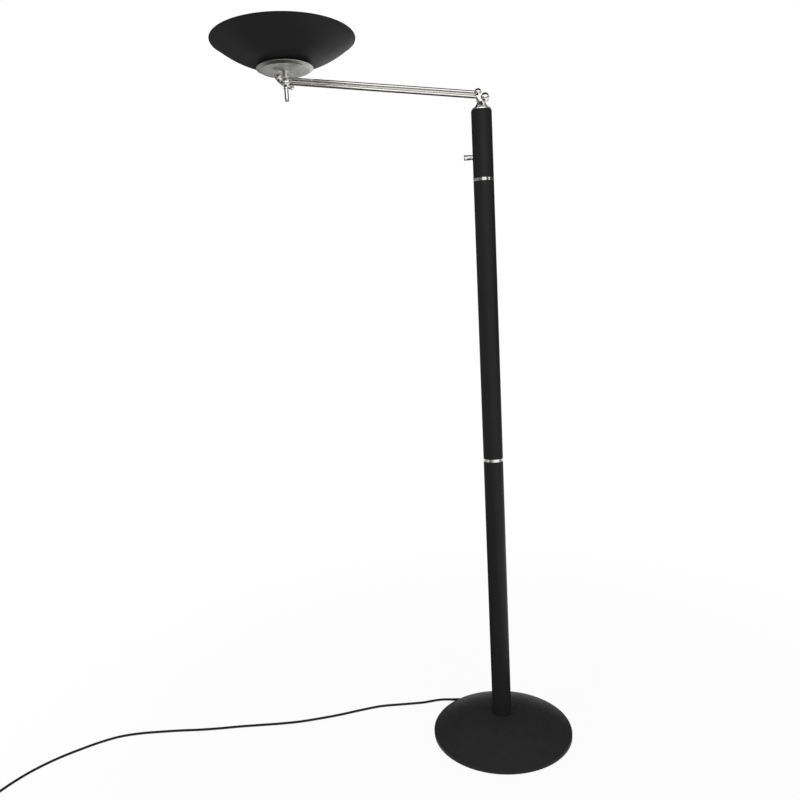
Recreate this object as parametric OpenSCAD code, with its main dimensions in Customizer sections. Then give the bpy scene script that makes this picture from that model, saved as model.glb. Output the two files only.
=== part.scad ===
// Swing arm floor lamp: a round foot, a jointed column, a two-rod arm that keeps the bowl level, and a
// bowl that throws its light upwards. The origin is on the column's axis where the foot meets the floor,
// +Z is up and the arm runs towards -X.

/* [Foot] */
// Diameter of the foot
foot_d = 370; // [340:2:386]
// Height of the straight edge of the foot
foot_edge = 8; // [7.5:0.5:12]
// Radius that rounds the top of the edge
foot_round = 4; // [2:0.5:6]
// Height of the foot at its centre
foot_h = 56; // [50:1:64]
// Thickness of the pressed cover
cover_t = 1.5; // [1:0.1:2]
// Gap between the cover and the floor
cover_lift = 1; // [0.5:0.1:1.5]
// Radius of the flat seat on top of the cover
seat_r = 27; // [26:0.5:34]
// Thickness of the felt disc
felt_t = 2; // [1:0.5:2]
// Gap from the edge of the felt to the edge of the weight
felt_inset = 6; // [2:1:20]
// Thickness of the iron weight at its rim
weight_t = 8; // [6.5:0.5:8.5]
// Gap from the rim of the weight to the cover
weight_gap = 5.5; // [3:0.5:8]
// Radius of the boss of the weight under the column
boss_r = 34; // [32:1:40]
// Radius where the boss meets the disc of the weight
boss_root_r = 60; // [52:1:80]
// Rise of the disc of the weight from its rim to the boss
disc_rise = 12; // [8:0.5:14]
// Radius of the pocket for the tie nut
pocket_r = 24; // [22:0.5:28]
// Iron left between the pocket and the top of the boss
pocket_roof = 18; // [14:0.5:20]

/* [Tie stud] */
// Radius of the hollow stud that ties the column to the foot
stud_r = 8; // [7:0.5:9]
// Radius of the bore of the stud
stud_bore_r = 4; // [3.8:0.1:4.5]
// Length of the stud in the column
stud_in_column = 20; // [14:1:26]
// Thickness of the tie nut
tie_nut_t = 9; // [6:0.5:9.5]
// Radius of the tie nut over its corners
tie_nut_r = 14; // [13:0.5:17]
// Thickness of the tie washer
tie_washer_t = 2.5; // [1.5:0.5:3]
// Radius of the tie washer
tie_washer_r = 19; // [18:0.5:21]

/* [Column] */
// Outer diameter of the column
tube_d = 50; // [48:0.5:52]
// Wall of the column tubes
tube_wall = 1.5; // [1:0.1:2]
// Length of the lower tube
lower_len = 695.5; // [500:0.5:800]
// Length of the middle tube
middle_len = 691; // [500:0.5:800]
// Length of the top tube
top_len = 158.5; // [150:0.5:220]
// Height of the bright rings
ring_h = 7; // [4:0.5:10]
// How far the rings stand proud of the tubes
ring_proud = 0.3; // [0.1:0.1:1]
// Reach of a joiner into each tube
joiner_reach = 28; // [16:1:40]
// Radius of the bore of a joiner
joiner_bore_r = 12; // [6:0.5:16]
// Length of the plug in the foot of the column
foot_plug_len = 26; // [24:1:40]
// Thickness of the end wall of the plug
foot_plug_wall = 4; // [3:0.5:8]

/* [Dimmer] */
// Height of the knob above the end of the top tube's foot
knob_rise = 51.5; // [40:0.5:60]
// Width of the dimmer case
dimmer_w = 26; // [20:1:28]
// Depth of the dimmer case
dimmer_d = 22; // [16:1:26]
// Height of the dimmer case
dimmer_h = 46; // [30:1:50]
// Radius of the threaded neck of the dimmer
dimmer_neck_r = 4.8; // [4.4:0.1:5.4]
// Radius of the dimmer shaft
dimmer_shaft_r = 3; // [2.5:0.1:3.5]
// Radius of the neck nut over its corners
dimmer_nut_r = 6; // [5.8:0.1:6.6]
// Thickness of the neck nut
dimmer_nut_t = 2; // [1.5:0.1:2.4]
// Radius of the knob
knob_r = 6.4; // [5.5:0.1:8]
// Length of the knob
knob_len = 18.3; // [14:0.1:26]
// Radius of the rim at the tip of the knob
knob_rim_r = 7.3; // [6.6:0.1:9]
// Width of the rim at the tip of the knob
knob_rim_w = 1.8; // [1:0.1:3]

/* [Swivel] */
// Length of the swivel bush in the top tube
bush_len = 25; // [20:1:32]
// Thickness of the thrust flange of the bush
thrust_t = 1; // [0.8:0.1:2]
// Radius of the hollow spindle
spindle_r = 6.5; // [6:0.1:7.5]
// Radius of the bore of the spindle
spindle_bore_r = 2.8; // [2.6:0.1:3.2]
// Length of the spindle inside the arm's yoke
spindle_in_yoke = 14; // [8:0.5:15]
// Thickness of the stop washer
stop_washer_t = 2; // [1.5:0.1:3]
// Radius of the stop washer
stop_washer_r = 12; // [11.5:0.5:13]
// Width of the finger of the stop washer
stop_finger_w = 5; // [4:0.5:6]
// Distance of the stop peg from the axis
stop_peg_at = 16; // [15.5:0.1:17]
// Radius of the stop peg
stop_peg_r = 2; // [1.5:0.1:2.2]
// Thickness of the spindle nut
spindle_nut_t = 7; // [5:0.5:9]
// Radius of the spindle nut over its corners
spindle_nut_r = 11; // [10.5:0.5:12]
// Radius of the screws that fix the bush
bush_screw_r = 2; // [1.5:0.1:2.5]

/* [Yoke] */
// Radius of the bell of the yoke at its foot
bell_r = 23.6; // [22:0.1:24]
// Height of the straight foot of the bell
bell_foot = 6; // [4:0.5:7]
// Height of the bell where its hollow begins
bell_shoulder = 9.5; // [8.5:0.5:11]
// Radius of the bell where its hollow begins
bell_shoulder_r = 19.5; // [18:0.5:21]
// Radius of the neck of the yoke
neck_r = 11.5; // [10.5:0.1:12.5]
// Height of the neck above the bell's foot
neck_h = 20.5; // [18:0.5:20.5]

/* [Arm] */
// Distance between the pivots of a rod
arm_len = 493.5; // [400:0.5:560]
// Rise of the arm above level in degrees at its upper stop
arm_rise = 8.7; // [6:0.1:9]
// Fall of the arm below level in degrees at its lower stop
arm_drop = 7.8; // [4:0.1:8]
// Diameter of the rods
rod_d = 9; // [8:0.1:9.2]
// Wall of the hollow rods
rod_wall = 1; // [0.8:0.1:1.3]
// Length of the solid end of a rod
rod_end_len = 20; // [14:1:30]
// Length of the spigot of a rod end
rod_spigot = 10; // [6:1:16]
// Distance along X from the upper pivot to the lower one
pivot_dx = 16; // [15:0.1:17]
// Distance down from the upper pivot to the lower one
pivot_dz = 12.5; // [12.4:0.1:14]
// Distance along X from the column's axis to the lower pivot
pivot_out = 9.5; // [6:0.5:10]
// Height of the lower pivot above the top of the column
pivot_up = 30.3; // [30:0.1:34]
// Radius of the link plates at the upper pivot
upper_hub_r = 8.6; // [8:0.1:9]
// Radius of the link plates at the lower pivot
lower_hub_r = 10.5; // [9.5:0.1:11]
// Half of the gap between the link plates
slot_half = 4.9; // [4.8:0.1:5.4]
// Thickness of a link plate
cheek_t = 3.3; // [2.5:0.1:4]
// Radius of the pivot pins
pin_r = 3; // [2.5:0.1:3]
// Height of the domed caps of the pins
cap_h = 3.8; // [2.5:0.1:5]
// Radius of the pin hole in the middle of a cap
cap_socket_r = 1.2; // [0.8:0.1:1.6]

/* [Lock lever] */
// Radius of the hub of the lock lever
lock_r = 8; // [6:0.1:9]
// Length of the lock lever from the pin to its tip
lock_reach = 10; // [8:0.5:16]
// Radius of the tip of the lock lever
lock_tip_r = 6; // [4:0.1:7]
// Thickness of the lock lever
lock_t = 9; // [6:0.5:12]
// Radius of the neck of the lock lever
lock_neck_r = 5; // [4.4:0.1:5.6]
// Length of the neck of the lock lever
lock_neck_len = 7; // [5:0.5:9]
// Angle of the lever below level in degrees when it is locked
lock_aim = 24; // [0:1:60]

/* [Head] */
// Width of the foot of the upright that carries the head
bar_w = 11.5; // [10:0.5:13]
// Height of the plate's underside above the lower pivot
plate_rise = 28.2; // [28:0.1:36]
// Diameter of the plate under the bowl
plate_d = 141; // [110:1:146]
// Thickness of the plate
plate_t = 6; // [4:0.5:8]
// Width of the bevel round the underside of the plate
plate_bevel = 9.2; // [4:0.1:12]
// Height of the straight edge of the plate above its bevel
plate_edge = 0.8; // [0.5:0.1:2]
// Radius of the handle
handle_r = 5.25; // [4.5:0.05:6]
// Length of the handle below its collar
handle_len = 28.5; // [20:0.5:60]
// Radius of the handle's collar
collar_r = 6.6; // [6.2:0.1:7.5]
// Thickness of the handle's collar
collar_t = 4.5; // [3:0.5:6]

/* [Bowl] */
// Diameter of the bowl at its rim
bowl_d = 355; // [330:1:380]
// Height of the bowl from its flat bottom to its rim
bowl_h = 66; // [62:0.5:70]
// Radius of the flat in the bottom of the bowl
bowl_flat_r = 20; // [19:0.5:26]
// Wall of the bowl
bowl_t = 1.2; // [1:0.1:1.6]
// Radius of the rolled bead at the rim
bead_r = 1.6; // [1.2:0.1:2.5]

/* [Light] */
// Length of the lamp between its contacts
lamp_len = 114.2; // [112:0.1:116]
// Length of the glass of the lamp
lamp_glass_len = 84; // [70:1:90]
// Radius of the glass of the lamp
lamp_glass_r = 6; // [5:0.1:7]
// Radius of the end caps of the lamp
lamp_cap_r = 4.2; // [3.5:0.1:5]
// Height of the lamp above the bracket
lamp_rise = 24; // [22:0.5:26]
// Thickness of a lamp holder along the lamp
holder_t = 12; // [10:0.5:14]
// Width of a lamp holder
holder_w = 20; // [16:0.5:24]
// Width of the bracket
bracket_w = 26; // [22:1:30]
// Thickness of the bracket
bracket_t = 1.5; // [1:0.1:2]
// Gap between the ends of the bracket and the bowl
bracket_gap = 1.5; // [1:0.1:3]
// Radius of the spacers under the bracket
spacer_r = 4; // [3:0.1:4.2]
// Distance of the spacers from the middle
spacer_at = 14; // [13:0.5:15]
// Radius of the trough reflector
trough_r = 20; // [18:0.5:20]
// Thickness of the trough reflector
trough_t = 0.8; // [0.5:0.1:1]
// Length of the trough reflector
trough_len = 100; // [80:1:108]
// Gap between the lamp's axis and the guard glass
glass_rise = 11; // [9:0.5:13]
// Thickness of the guard glass
glass_t = 3.3; // [2:0.1:4]
// Width of the guard glass
glass_w = 60; // [50:1:80]
// Overhang of the guard glass past the bracket
glass_over = 1.5; // [0.5:0.1:2]

/* [Cord] */
// Diameter of the mains cord
cord_d = 6.6; // [6:0.1:6.8]
// Height of the cord where it leaves the foot
cord_exit_z = 6.5; // [6.3:0.1:7]
// Radius of the strain relief
relief_r = 4.2; // [4:0.1:4.3]
// Radius of the strain relief at its tip
relief_tip_r = 3.6; // [3.5:0.1:3.9]
// Length of the tapered part of the strain relief
relief_taper = 22; // [20:1:30]
// Gap between neighbouring turns of the coil
coil_gap = 0.6; // [0.5:0.1:1]
// Radius of the innermost turn of the coil
coil_in_r = 26; // [25:0.5:29]
// Thickness of the tie round the coil
tie_t = 0.8; // [0.6:0.1:1]
// Width of the tie round the coil
tie_w = 7; // [5:0.5:10]
// Radius of the plug
plug_r = 18; // [16:0.5:20]
// Length of the plug
plug_len = 40; // [34:1:46]
// Length of the tapered tail of the plug
plug_tail = 22; // [20:1:30]
// Radius of the plug pins
plug_pin_r = 2.4; // [2:0.1:2.4]
// Length of the plug pins
plug_pin_len = 19; // [17:0.5:20]
// Distance between the plug pins
plug_pin_gap = 19; // [17.5:0.1:19]

/* [Hidden] */
$fn = 64;

// Clearances: a piece pushed into another, a shaft that turns, and the gap at the open pivot
snug = 0.05;
running = 0.06;
open_pivot = 0.4;
seat = 0.3;
lip = 0.2;

// Foot
foot_r = foot_d / 2;
foot_shoulder_r = foot_r - foot_round;
foot_shoulder_z = foot_edge + foot_round;
dome_z = (foot_shoulder_r * foot_shoulder_r - seat_r * seat_r + foot_shoulder_z * foot_shoulder_z
    - foot_h * foot_h) / (2 * (foot_shoulder_z - foot_h));
dome_r = norm([seat_r, foot_h - dome_z]);
weight_r = foot_r - cover_t - weight_gap;
weight_top = foot_h - cover_t;
inner_dome_r = dome_r - cover_t;
boss_edge_z = min(weight_top, dome_z + sqrt(inner_dome_r * inner_dome_r - boss_r * boss_r) - seat);
pocket_top = weight_top - pocket_roof;
stud_bottom = pocket_top - tie_washer_t - tie_nut_t - 2;

// Column
tube_r = tube_d / 2;
tube_ir = tube_r - tube_wall;
lower_ring_z = foot_h + lower_len;
middle_z = lower_ring_z + ring_h;
upper_ring_z = middle_z + middle_len;
top_z = upper_ring_z + ring_h;
column_top = top_z + top_len;
knob_z = top_z + knob_rise;
knob_x = -tube_r - dimmer_nut_t - 0.7;
shaft_in = 6;

// Swivel
bush_bottom = column_top - bush_len;
stop_z = bush_bottom - lip - stop_washer_t;
spindle_nut_z = stop_z - spindle_nut_t;
yoke_z = column_top + thrust_t + lip;

// Pivots, in the plane of the arm: x and z of each
rod_r = rod_d / 2;
rod_bore_r = rod_r - rod_wall;
D = [pivot_out, column_top + pivot_up];
C = D + [-pivot_dx, pivot_dz];
arm_dir = [-cos(arm_rise), sin(arm_rise)];
A = C + arm_len * arm_dir;
B = D + arm_len * arm_dir;
tip_len = 5.2;
tip_clear = norm([tip_len, rod_r * 0.65]) + seat;
cheek_y = slot_half + cheek_t;
neck_top = D[1] - (pivot_out + neck_r) * tan(arm_drop) - rod_r / cos(arm_drop) - seat;
lock_y = cheek_y + seat;

// Head, on the axis of the lower pivot
head_x = B[0];
plate_z = B[1] + plate_rise;
bar_round_r = cheek_y;
slot_top = A[1] + (pivot_dx + bar_round_r) * tan(arm_drop) + rod_r / cos(arm_drop) + seat;
bar_top = slot_top + 3;
nipple_r = 4;
nipple_bore_r = 2.5;
bar_foot = B[1] - lower_hub_r;

// Bowl and light
bowl_r = bowl_d / 2;
bowl_z = plate_z + plate_t;
rim_z = bowl_z + bowl_h;
bowl_centre_rise = (bowl_r * bowl_r + bowl_h * bowl_h - bowl_flat_r * bowl_flat_r) / (2 * bowl_h);
bowl_centre_z = bowl_z + bowl_centre_rise;
bowl_curve_r = norm([bowl_flat_r, bowl_centre_rise]);
function bowl_inside(r) = bowl_centre_z - sqrt(pow(bowl_curve_r - bowl_t, 2) - r * r);
floor_z = bowl_z + bowl_t;
bowl_nut_t = 5;
upright_x = lamp_len / 2 + holder_t;
bracket_z = bowl_inside(norm([upright_x + bracket_t, bracket_w / 2])) + bracket_gap;
bracket_top = bracket_z + bracket_t;
spacer_h = bracket_z - floor_z;
lamp_z = bracket_top + lamp_rise;
glass_z = lamp_z + glass_rise;
terminal_size = [24, 12, 7];
terminal_y = bracket_w / 2 + terminal_size[1];

// Cord: the free stretch is a line of hand-placed points on the floor
cord_r = cord_d / 2;
cord_y = 139;
relief_from = -100;
relief_out = -130;
relief_tip = relief_out - relief_taper;
bend_r = 24;
rise_r = 20;
coil_lift = tie_t + 0.2;
coil_z = coil_lift + cord_r;
coil_pitch = cord_d + coil_gap;
coil_turns = 5.5;
coil_steps = 24;
coil_start = [-1272, -395];
coil_out_r = coil_in_r + coil_pitch * coil_turns / 2;
coil_centre = coil_start - [coil_out_r, 0];
plug_gap = 2;
plug_x = coil_centre[0] - coil_out_r;
plug_z = coil_z + coil_pitch;
plug_y = coil_centre[1] + cord_d + plug_gap;
route = [
    [relief_tip - cord_d, cord_y, cord_exit_z], [-168, 139, 6.2], [-186, 137, 5.2], [-210, 131, 3.8],
    [-235, 124, cord_r], [-295, 113, cord_r], [-350, 102, cord_r], [-405, 80, cord_r], [-460, 55, cord_r],
    [-515, 34, cord_r], [-570, 16, cord_r], [-625, 4, cord_r], [-680, -5, cord_r], [-735, -14, cord_r],
    [-790, -25, cord_r], [-845, -34, cord_r], [-900, -40, cord_r], [-955, -48, cord_r],
    [-1010, -58, cord_r], [-1062, -75, cord_r], [-1106, -103, cord_r], [-1146, -138, cord_r],
    [-1180, -172, cord_r], [-1206, -205, cord_r], [-1228, -240, cord_r], [-1246, -280, cord_r],
    [-1259, -318, cord_r], [-1269, -352, cord_r + 0.4], [coil_start[0], coil_start[1] + 22, coil_z],
    [coil_start[0], coil_start[1] + 2 * cord_d, coil_z]
];

// A smooth curve through the points, and a tube swept along it
function bend_at(p, i, u) =
    let (a = p[max(i - 1, 0)], b = p[i], c = p[i + 1], d = p[min(i + 2, len(p) - 1)])
    0.5 * (2 * b + (c - a) * u + (2 * a - 5 * b + 4 * c - d) * u * u + (3 * b - a - 3 * c + d) * u * u * u);
function lengths(p, i = 0, sum = 0, out = []) =
    i >= len(p) ? out : let (s = i == 0 ? 0 : sum + norm(p[i] - p[i - 1])) lengths(p, i + 1, s, concat(out, [s]));
function curve_at(p, s, at) =
    let (found = [for (i = [0:len(p) - 2]) if (s[i] <= at && at <= s[i + 1] + 0.001) i], i = found[0])
    bend_at(p, i, min(1, (at - s[i]) / (s[i + 1] - s[i])));
function resample(p, n) =
    let (s = lengths(p), total = s[len(s) - 1]) [for (k = [0:n]) curve_at(p, s, total * k / n)];
function unit(v) = v / norm(v);
function heading(p, i) = unit(p[min(i + 1, len(p) - 1)] - p[max(i - 1, 0)]);
function tube_ring(p, i, r, sides) =
    let (t = heading(p, i), side = unit(cross(t, [0, 0, 1])), up = cross(side, t))
    [for (k = [0:sides - 1]) let (a = 360 * (k + 0.5) / sides) p[i] + r * (cos(a) * side + sin(a) * up)];
module swept_tube(p, r, sides) {
    n = len(p);
    polyhedron(
        points = [for (i = [0:n - 1]) each tube_ring(p, i, r, sides)],
        faces = concat(
            [for (k = [1:sides - 2]) [0, k, k + 1]],
            [for (k = [1:sides - 2]) [(n - 1) * sides, (n - 1) * sides + k + 1, (n - 1) * sides + k]],
            [for (i = [0:n - 2], k = [0:sides - 1]) let (j = (k + 1) % sides)
                [i * sides + k, (i + 1) * sides + j, i * sides + j]],
            [for (i = [0:n - 2], k = [0:sides - 1]) let (j = (k + 1) % sides)
                [i * sides + k, (i + 1) * sides + k, (i + 1) * sides + j]]
        )
    );
}

// The coil winds in along the floor, climbs in the half turn where it reverses and winds out on top
function coil_climb(t) = max(0, min(1, (t - coil_turns / 2 + 0.25) * 2));
function coil_point(t) =
    let (r = coil_in_r + coil_pitch * abs(t - coil_turns / 2), a = -360 * t, c = coil_climb(t))
    [coil_centre[0] + r * cos(a), coil_centre[1] + r * sin(a), coil_z + coil_pitch * c * c * (3 - 2 * c)];
coil_rings = coil_turns * coil_steps;
coil_line = concat(
    [[coil_start[0], coil_start[1] + cord_d, coil_z]],
    [for (i = [0:coil_rings]) coil_point(i / coil_steps)],
    [[plug_x, coil_centre[1] + cord_d, plug_z]]
);
coil_least_gap = min([for (i = [0:coil_rings], k = [i + coil_steps / 2:coil_rings])
    norm(coil_line[i + 1] - coil_line[k + 1])]) - cord_d;
coil_length = lengths(coil_line)[len(coil_line) - 1];
free_line = concat(
    [[relief_tip, cord_y, cord_exit_z]],
    [for (p = resample(route, 77)) [p[0], p[1], max(p[2], cord_r)]],
    [[coil_start[0], coil_start[1] + cord_d, coil_z]]
);
free_length = lengths(free_line)[len(free_line) - 1];
echo(coil_least_gap = coil_least_gap, coil_length = coil_length, free_length = free_length);

// Small helpers
module tube(r, bore, h) {
    difference() {
        cylinder(r = r, h = h);
        translate([0, 0, -1]) cylinder(r = bore, h = h + 2);
    }
}
module towards_head(p) {
    translate([p[0], 0, p[1]]) rotate([0, arm_rise - 90, 0]) children();
}
module across(p, y) {
    translate([p[0], y, p[1]]) rotate([-90, 0, 0]) children();
}
module plate_between(half) {
    rotate([90, 0, 0]) translate([0, 0, -half]) linear_extrude(2 * half) children();
}
module stick(a, b, r) {
    v = b - a;
    translate(a) rotate([0, acos(v[2] / norm(v)), atan2(v[1], v[0])]) cylinder(r = r, h = norm(v));
}
module lead(points, r) {
    for (i = [0:len(points) - 2]) stick(points[i], points[i + 1], r);
    for (i = [1:len(points) - 2]) translate(points[i]) sphere(r = r * 1.2);
}
module dome(r, h) {
    ball = (r * r + h * h) / (2 * h);
    intersection() {
        translate([0, 0, h - ball]) sphere(r = ball);
        cylinder(r = r, h = h + 1);
    }
}
// Outline of two hubs and the straight flanks between them
function hub_point(p, r, a) = p + r * [cos(a), sin(a)];
module link_outline(p, rp, q, rq) {
    u = q - p;
    aim = atan2(u[1], u[0]);
    lean = acos((rp - rq) / norm(u));
    translate(p) circle(r = rp);
    translate(q) circle(r = rq);
    polygon([hub_point(p, rp, aim + lean), hub_point(q, rq, aim + lean),
        hub_point(q, rq, aim - lean), hub_point(p, rp, aim - lean)]);
}

// Foot
module foot_region(inset) {
    intersection() {
        translate([0, dome_z]) circle(r = dome_r - inset, $fn = 180);
        square([foot_shoulder_r, foot_h - inset]);
    }
    square([foot_r - inset, foot_edge]);
    translate([foot_shoulder_r, foot_edge]) circle(r = foot_round - inset);
}
module floor_felt() {
    color("dimgray") cylinder(r = weight_r - felt_inset, h = felt_t, $fn = 120);
}
module cable_channel() {
    w = relief_r + seat;
    top = cord_exit_z + relief_r + seat;
    translate([-foot_r, cord_y - w, felt_t - 1]) cube([foot_r - bend_r, 2 * w, top - felt_t + 1]);
    translate([-w, 0, felt_t - 1]) cube([2 * w, cord_y - bend_r, top - felt_t + 1]);
    translate([-bend_r, cord_y - bend_r, felt_t - 1]) difference() {
        intersection() {
            cylinder(r = bend_r + w, h = top - felt_t + 1);
            cube([bend_r + w + 1, bend_r + w + 1, top]);
        }
        translate([0, 0, -1]) cylinder(r = bend_r - w, h = top + 2);
    }
}
module base_weight() {
    color("gray") difference() {
        rotate_extrude($fn = 120) polygon([[0, felt_t], [weight_r, felt_t], [weight_r, felt_t + weight_t],
            [boss_root_r, felt_t + weight_t + disc_rise], [boss_r, boss_edge_z], [seat_r - 2, weight_top],
            [0, weight_top]]);
        translate([0, 0, felt_t - 1]) cylinder(r = pocket_r, h = pocket_top - felt_t + 1);
        cylinder(r = stud_r + seat, h = foot_h);
        cable_channel();
    }
}
module base_cover() {
    color([0.09, 0.09, 0.1]) difference() {
        rotate_extrude($fn = 180) difference() {
            foot_region(0);
            foot_region(cover_t);
            square([foot_r + 1, cover_lift]);
        }
        cylinder(r = stud_r + seat, h = foot_h + 1);
        translate([-foot_r - 1, cord_y, cord_exit_z]) rotate([0, 90, 0]) cylinder(r = relief_r + seat, h = 90);
        translate([-foot_r - 1, cord_y - relief_r - seat, 0])
            cube([90, 2 * (relief_r + seat), cord_exit_z]);
    }
}
module tie_washer() {
    color("silver") translate([0, 0, pocket_top - tie_washer_t]) tube(tie_washer_r, stud_r + snug, tie_washer_t);
}
module tie_nut() {
    color("silver") translate([0, 0, pocket_top - tie_washer_t - tie_nut_t]) difference() {
        cylinder(r = tie_nut_r, h = tie_nut_t, $fn = 6);
        translate([0, 0, -1]) cylinder(r = stud_r + snug, h = tie_nut_t + 2);
    }
}
module tie_stud() {
    color("silver") translate([0, 0, stud_bottom])
        tube(stud_r, stud_bore_r, foot_h + foot_plug_wall + stud_in_column - stud_bottom);
}
module strain_relief() {
    color([0.07, 0.07, 0.07]) translate([0, cord_y, cord_exit_z]) rotate([0, -90, 0]) {
        translate([0, 0, -relief_from]) cylinder(r = relief_r, h = relief_from - relief_out);
        translate([0, 0, -relief_out]) cylinder(r1 = relief_r, r2 = relief_tip_r, h = relief_taper);
    }
}

// Column
module foot_plug() {
    color("silver") translate([0, 0, foot_h]) difference() {
        cylinder(r = tube_ir - snug, h = foot_plug_len);
        translate([0, 0, -1]) cylinder(r = stud_r + snug, h = foot_plug_len + 2);
        translate([0, 0, foot_plug_wall + stud_in_column])
            cylinder(r = tube_ir - foot_plug_wall, h = foot_plug_len);
    }
}
module lower_tube() {
    color([0.09, 0.09, 0.1]) translate([0, 0, foot_h]) tube(tube_r, tube_ir, lower_len);
}
module joiner_at(z) {
    translate([0, 0, z - joiner_reach]) tube(tube_ir - snug, joiner_bore_r, 2 * joiner_reach + ring_h);
}
module ring_at(z) {
    translate([0, 0, z]) tube(tube_r + ring_proud, tube_ir, ring_h);
}
module lower_joiner() {
    color("silver") joiner_at(lower_ring_z);
}
module lower_ring() {
    color("gainsboro") ring_at(lower_ring_z);
}
module middle_tube() {
    color([0.09, 0.09, 0.1]) translate([0, 0, middle_z]) tube(tube_r, tube_ir, middle_len);
}
module upper_joiner() {
    color("silver") joiner_at(upper_ring_z);
}
module upper_ring() {
    color("gainsboro") ring_at(upper_ring_z);
}
module bush_screw_axes() {
    for (a = [60, 120]) rotate([0, 0, a]) translate([0, 0, column_top - bush_len / 2]) rotate([0, 90, 0]) children();
}
module top_tube() {
    color([0.09, 0.09, 0.1]) difference() {
        translate([0, 0, top_z]) tube(tube_r, tube_ir, top_len);
        translate([-tube_r - 2, 0, knob_z]) rotate([0, 90, 0]) cylinder(r = dimmer_neck_r + snug, h = tube_r);
        bush_screw_axes() cylinder(r = bush_screw_r + snug, h = tube_r + 2);
    }
}
module column_cable() {
    color([0.1, 0.1, 0.1]) {
        translate([relief_from, cord_y, cord_exit_z]) rotate([0, 90, 0])
            cylinder(r = cord_r, h = -bend_r - relief_from);
        translate([-bend_r, cord_y - bend_r, cord_exit_z]) rotate_extrude(angle = 90)
            translate([bend_r, 0]) circle(r = cord_r);
        translate([0, rise_r, cord_exit_z]) rotate([-90, 0, 0]) cylinder(r = cord_r, h = cord_y - bend_r - rise_r);
        translate([0, rise_r, cord_exit_z + rise_r]) rotate([90, 0, -90]) rotate([0, 0, -90])
            rotate_extrude(angle = 90) translate([rise_r, 0]) circle(r = cord_r);
        translate([0, 0, cord_exit_z + rise_r])
            cylinder(r = cord_r, h = knob_z - dimmer_h / 2 - cord_exit_z - rise_r);
    }
}

// Dimmer, with its neck through the wall of the top tube
module dimmer_axis(x) {
    translate([x, 0, knob_z]) rotate([0, -90, 0]) children();
}
module dimmer_case() {
    neck = tube_r + dimmer_nut_t + 0.4 - dimmer_w / 2;
    color("dimgray") difference() {
        union() {
            translate([-dimmer_w / 2, -dimmer_d / 2, knob_z - dimmer_h / 2]) cube([dimmer_w, dimmer_d, dimmer_h]);
            dimmer_axis(-dimmer_w / 2 + 1) cylinder(r = dimmer_neck_r, h = neck + 1);
        }
        dimmer_axis(-dimmer_w / 2 + shaft_in) cylinder(r = dimmer_shaft_r + running, h = tube_r);
    }
}
module dimmer_nut() {
    color("silver") dimmer_axis(-tube_r) difference() {
        cylinder(r = dimmer_nut_r, h = dimmer_nut_t, $fn = 6);
        translate([0, 0, -1]) cylinder(r = dimmer_neck_r + snug, h = dimmer_nut_t + 2);
    }
}
module dimmer_shaft() {
    color("silver") dimmer_axis(-dimmer_w / 2 + shaft_in - seat)
        cylinder(r = dimmer_shaft_r, h = -knob_x - dimmer_w / 2 + shaft_in - seat + knob_len / 2);
}
module dimmer_knob() {
    edge = 0.5;
    color("gainsboro") dimmer_axis(knob_x) difference() {
        rotate_extrude() polygon([[0, 0], [knob_r - edge, 0], [knob_r, edge], [knob_r, knob_len - knob_rim_w],
            [knob_rim_r - edge, knob_len - knob_rim_w], [knob_rim_r, knob_len - knob_rim_w + edge],
            [knob_rim_r, knob_len - edge], [knob_rim_r - edge, knob_len], [0, knob_len]]);
        translate([0, 0, -1]) cylinder(r = dimmer_shaft_r, h = knob_len / 2 + 1);
    }
}

// Swivel at the top of the column
module swivel_bush() {
    color("dimgray") difference() {
        union() {
            translate([0, 0, bush_bottom]) cylinder(r = tube_ir - snug, h = bush_len);
            translate([0, 0, column_top]) cylinder(r = bell_r, h = thrust_t);
            translate([-stop_peg_at, 0, bush_bottom - stop_washer_t - lip])
                cylinder(r = stop_peg_r, h = stop_washer_t + 1);
        }
        translate([0, 0, bush_bottom - 1]) cylinder(r = spindle_r + running, h = bush_len + thrust_t + 2);
        bush_screw_axes() cylinder(r = bush_screw_r, h = tube_r);
    }
}
module bush_screws() {
    reach = tube_r - spindle_r - 4;
    color("silver") bush_screw_axes() {
        translate([0, 0, tube_r - reach]) cylinder(r = bush_screw_r, h = reach);
        translate([0, 0, tube_r]) difference() {
            dome(bush_screw_r * 1.8, 1.8);
            translate([0, 0, 1]) cylinder(r = bush_screw_r * 0.6, h = 1, $fn = 6);
        }
    }
}
module spindle() {
    foot = spindle_nut_z - 3;
    color("silver") translate([0, 0, foot]) tube(spindle_r, spindle_bore_r, yoke_z + spindle_in_yoke - foot);
}
module stop_washer() {
    color("silver") translate([0, 0, stop_z]) difference() {
        union() {
            cylinder(r = stop_washer_r, h = stop_washer_t);
            translate([0, -stop_finger_w / 2, 0])
                cube([stop_peg_at + stop_peg_r, stop_finger_w, stop_washer_t]);
        }
        translate([0, 0, -1]) cylinder(r = spindle_r + snug, h = stop_washer_t + 2);
    }
}
module spindle_nut() {
    color("silver") translate([0, 0, spindle_nut_z]) difference() {
        cylinder(r = spindle_nut_r, h = spindle_nut_t, $fn = 6);
        translate([0, 0, -1]) cylinder(r = spindle_r + snug, h = spindle_nut_t + 2);
    }
}
module spindle_cable() {
    foot = knob_z + dimmer_h / 2 + seat;
    color([0.1, 0.1, 0.1]) translate([0, 0, foot]) cylinder(r = spindle_bore_r - seat, h = neck_top - foot);
}
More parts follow.
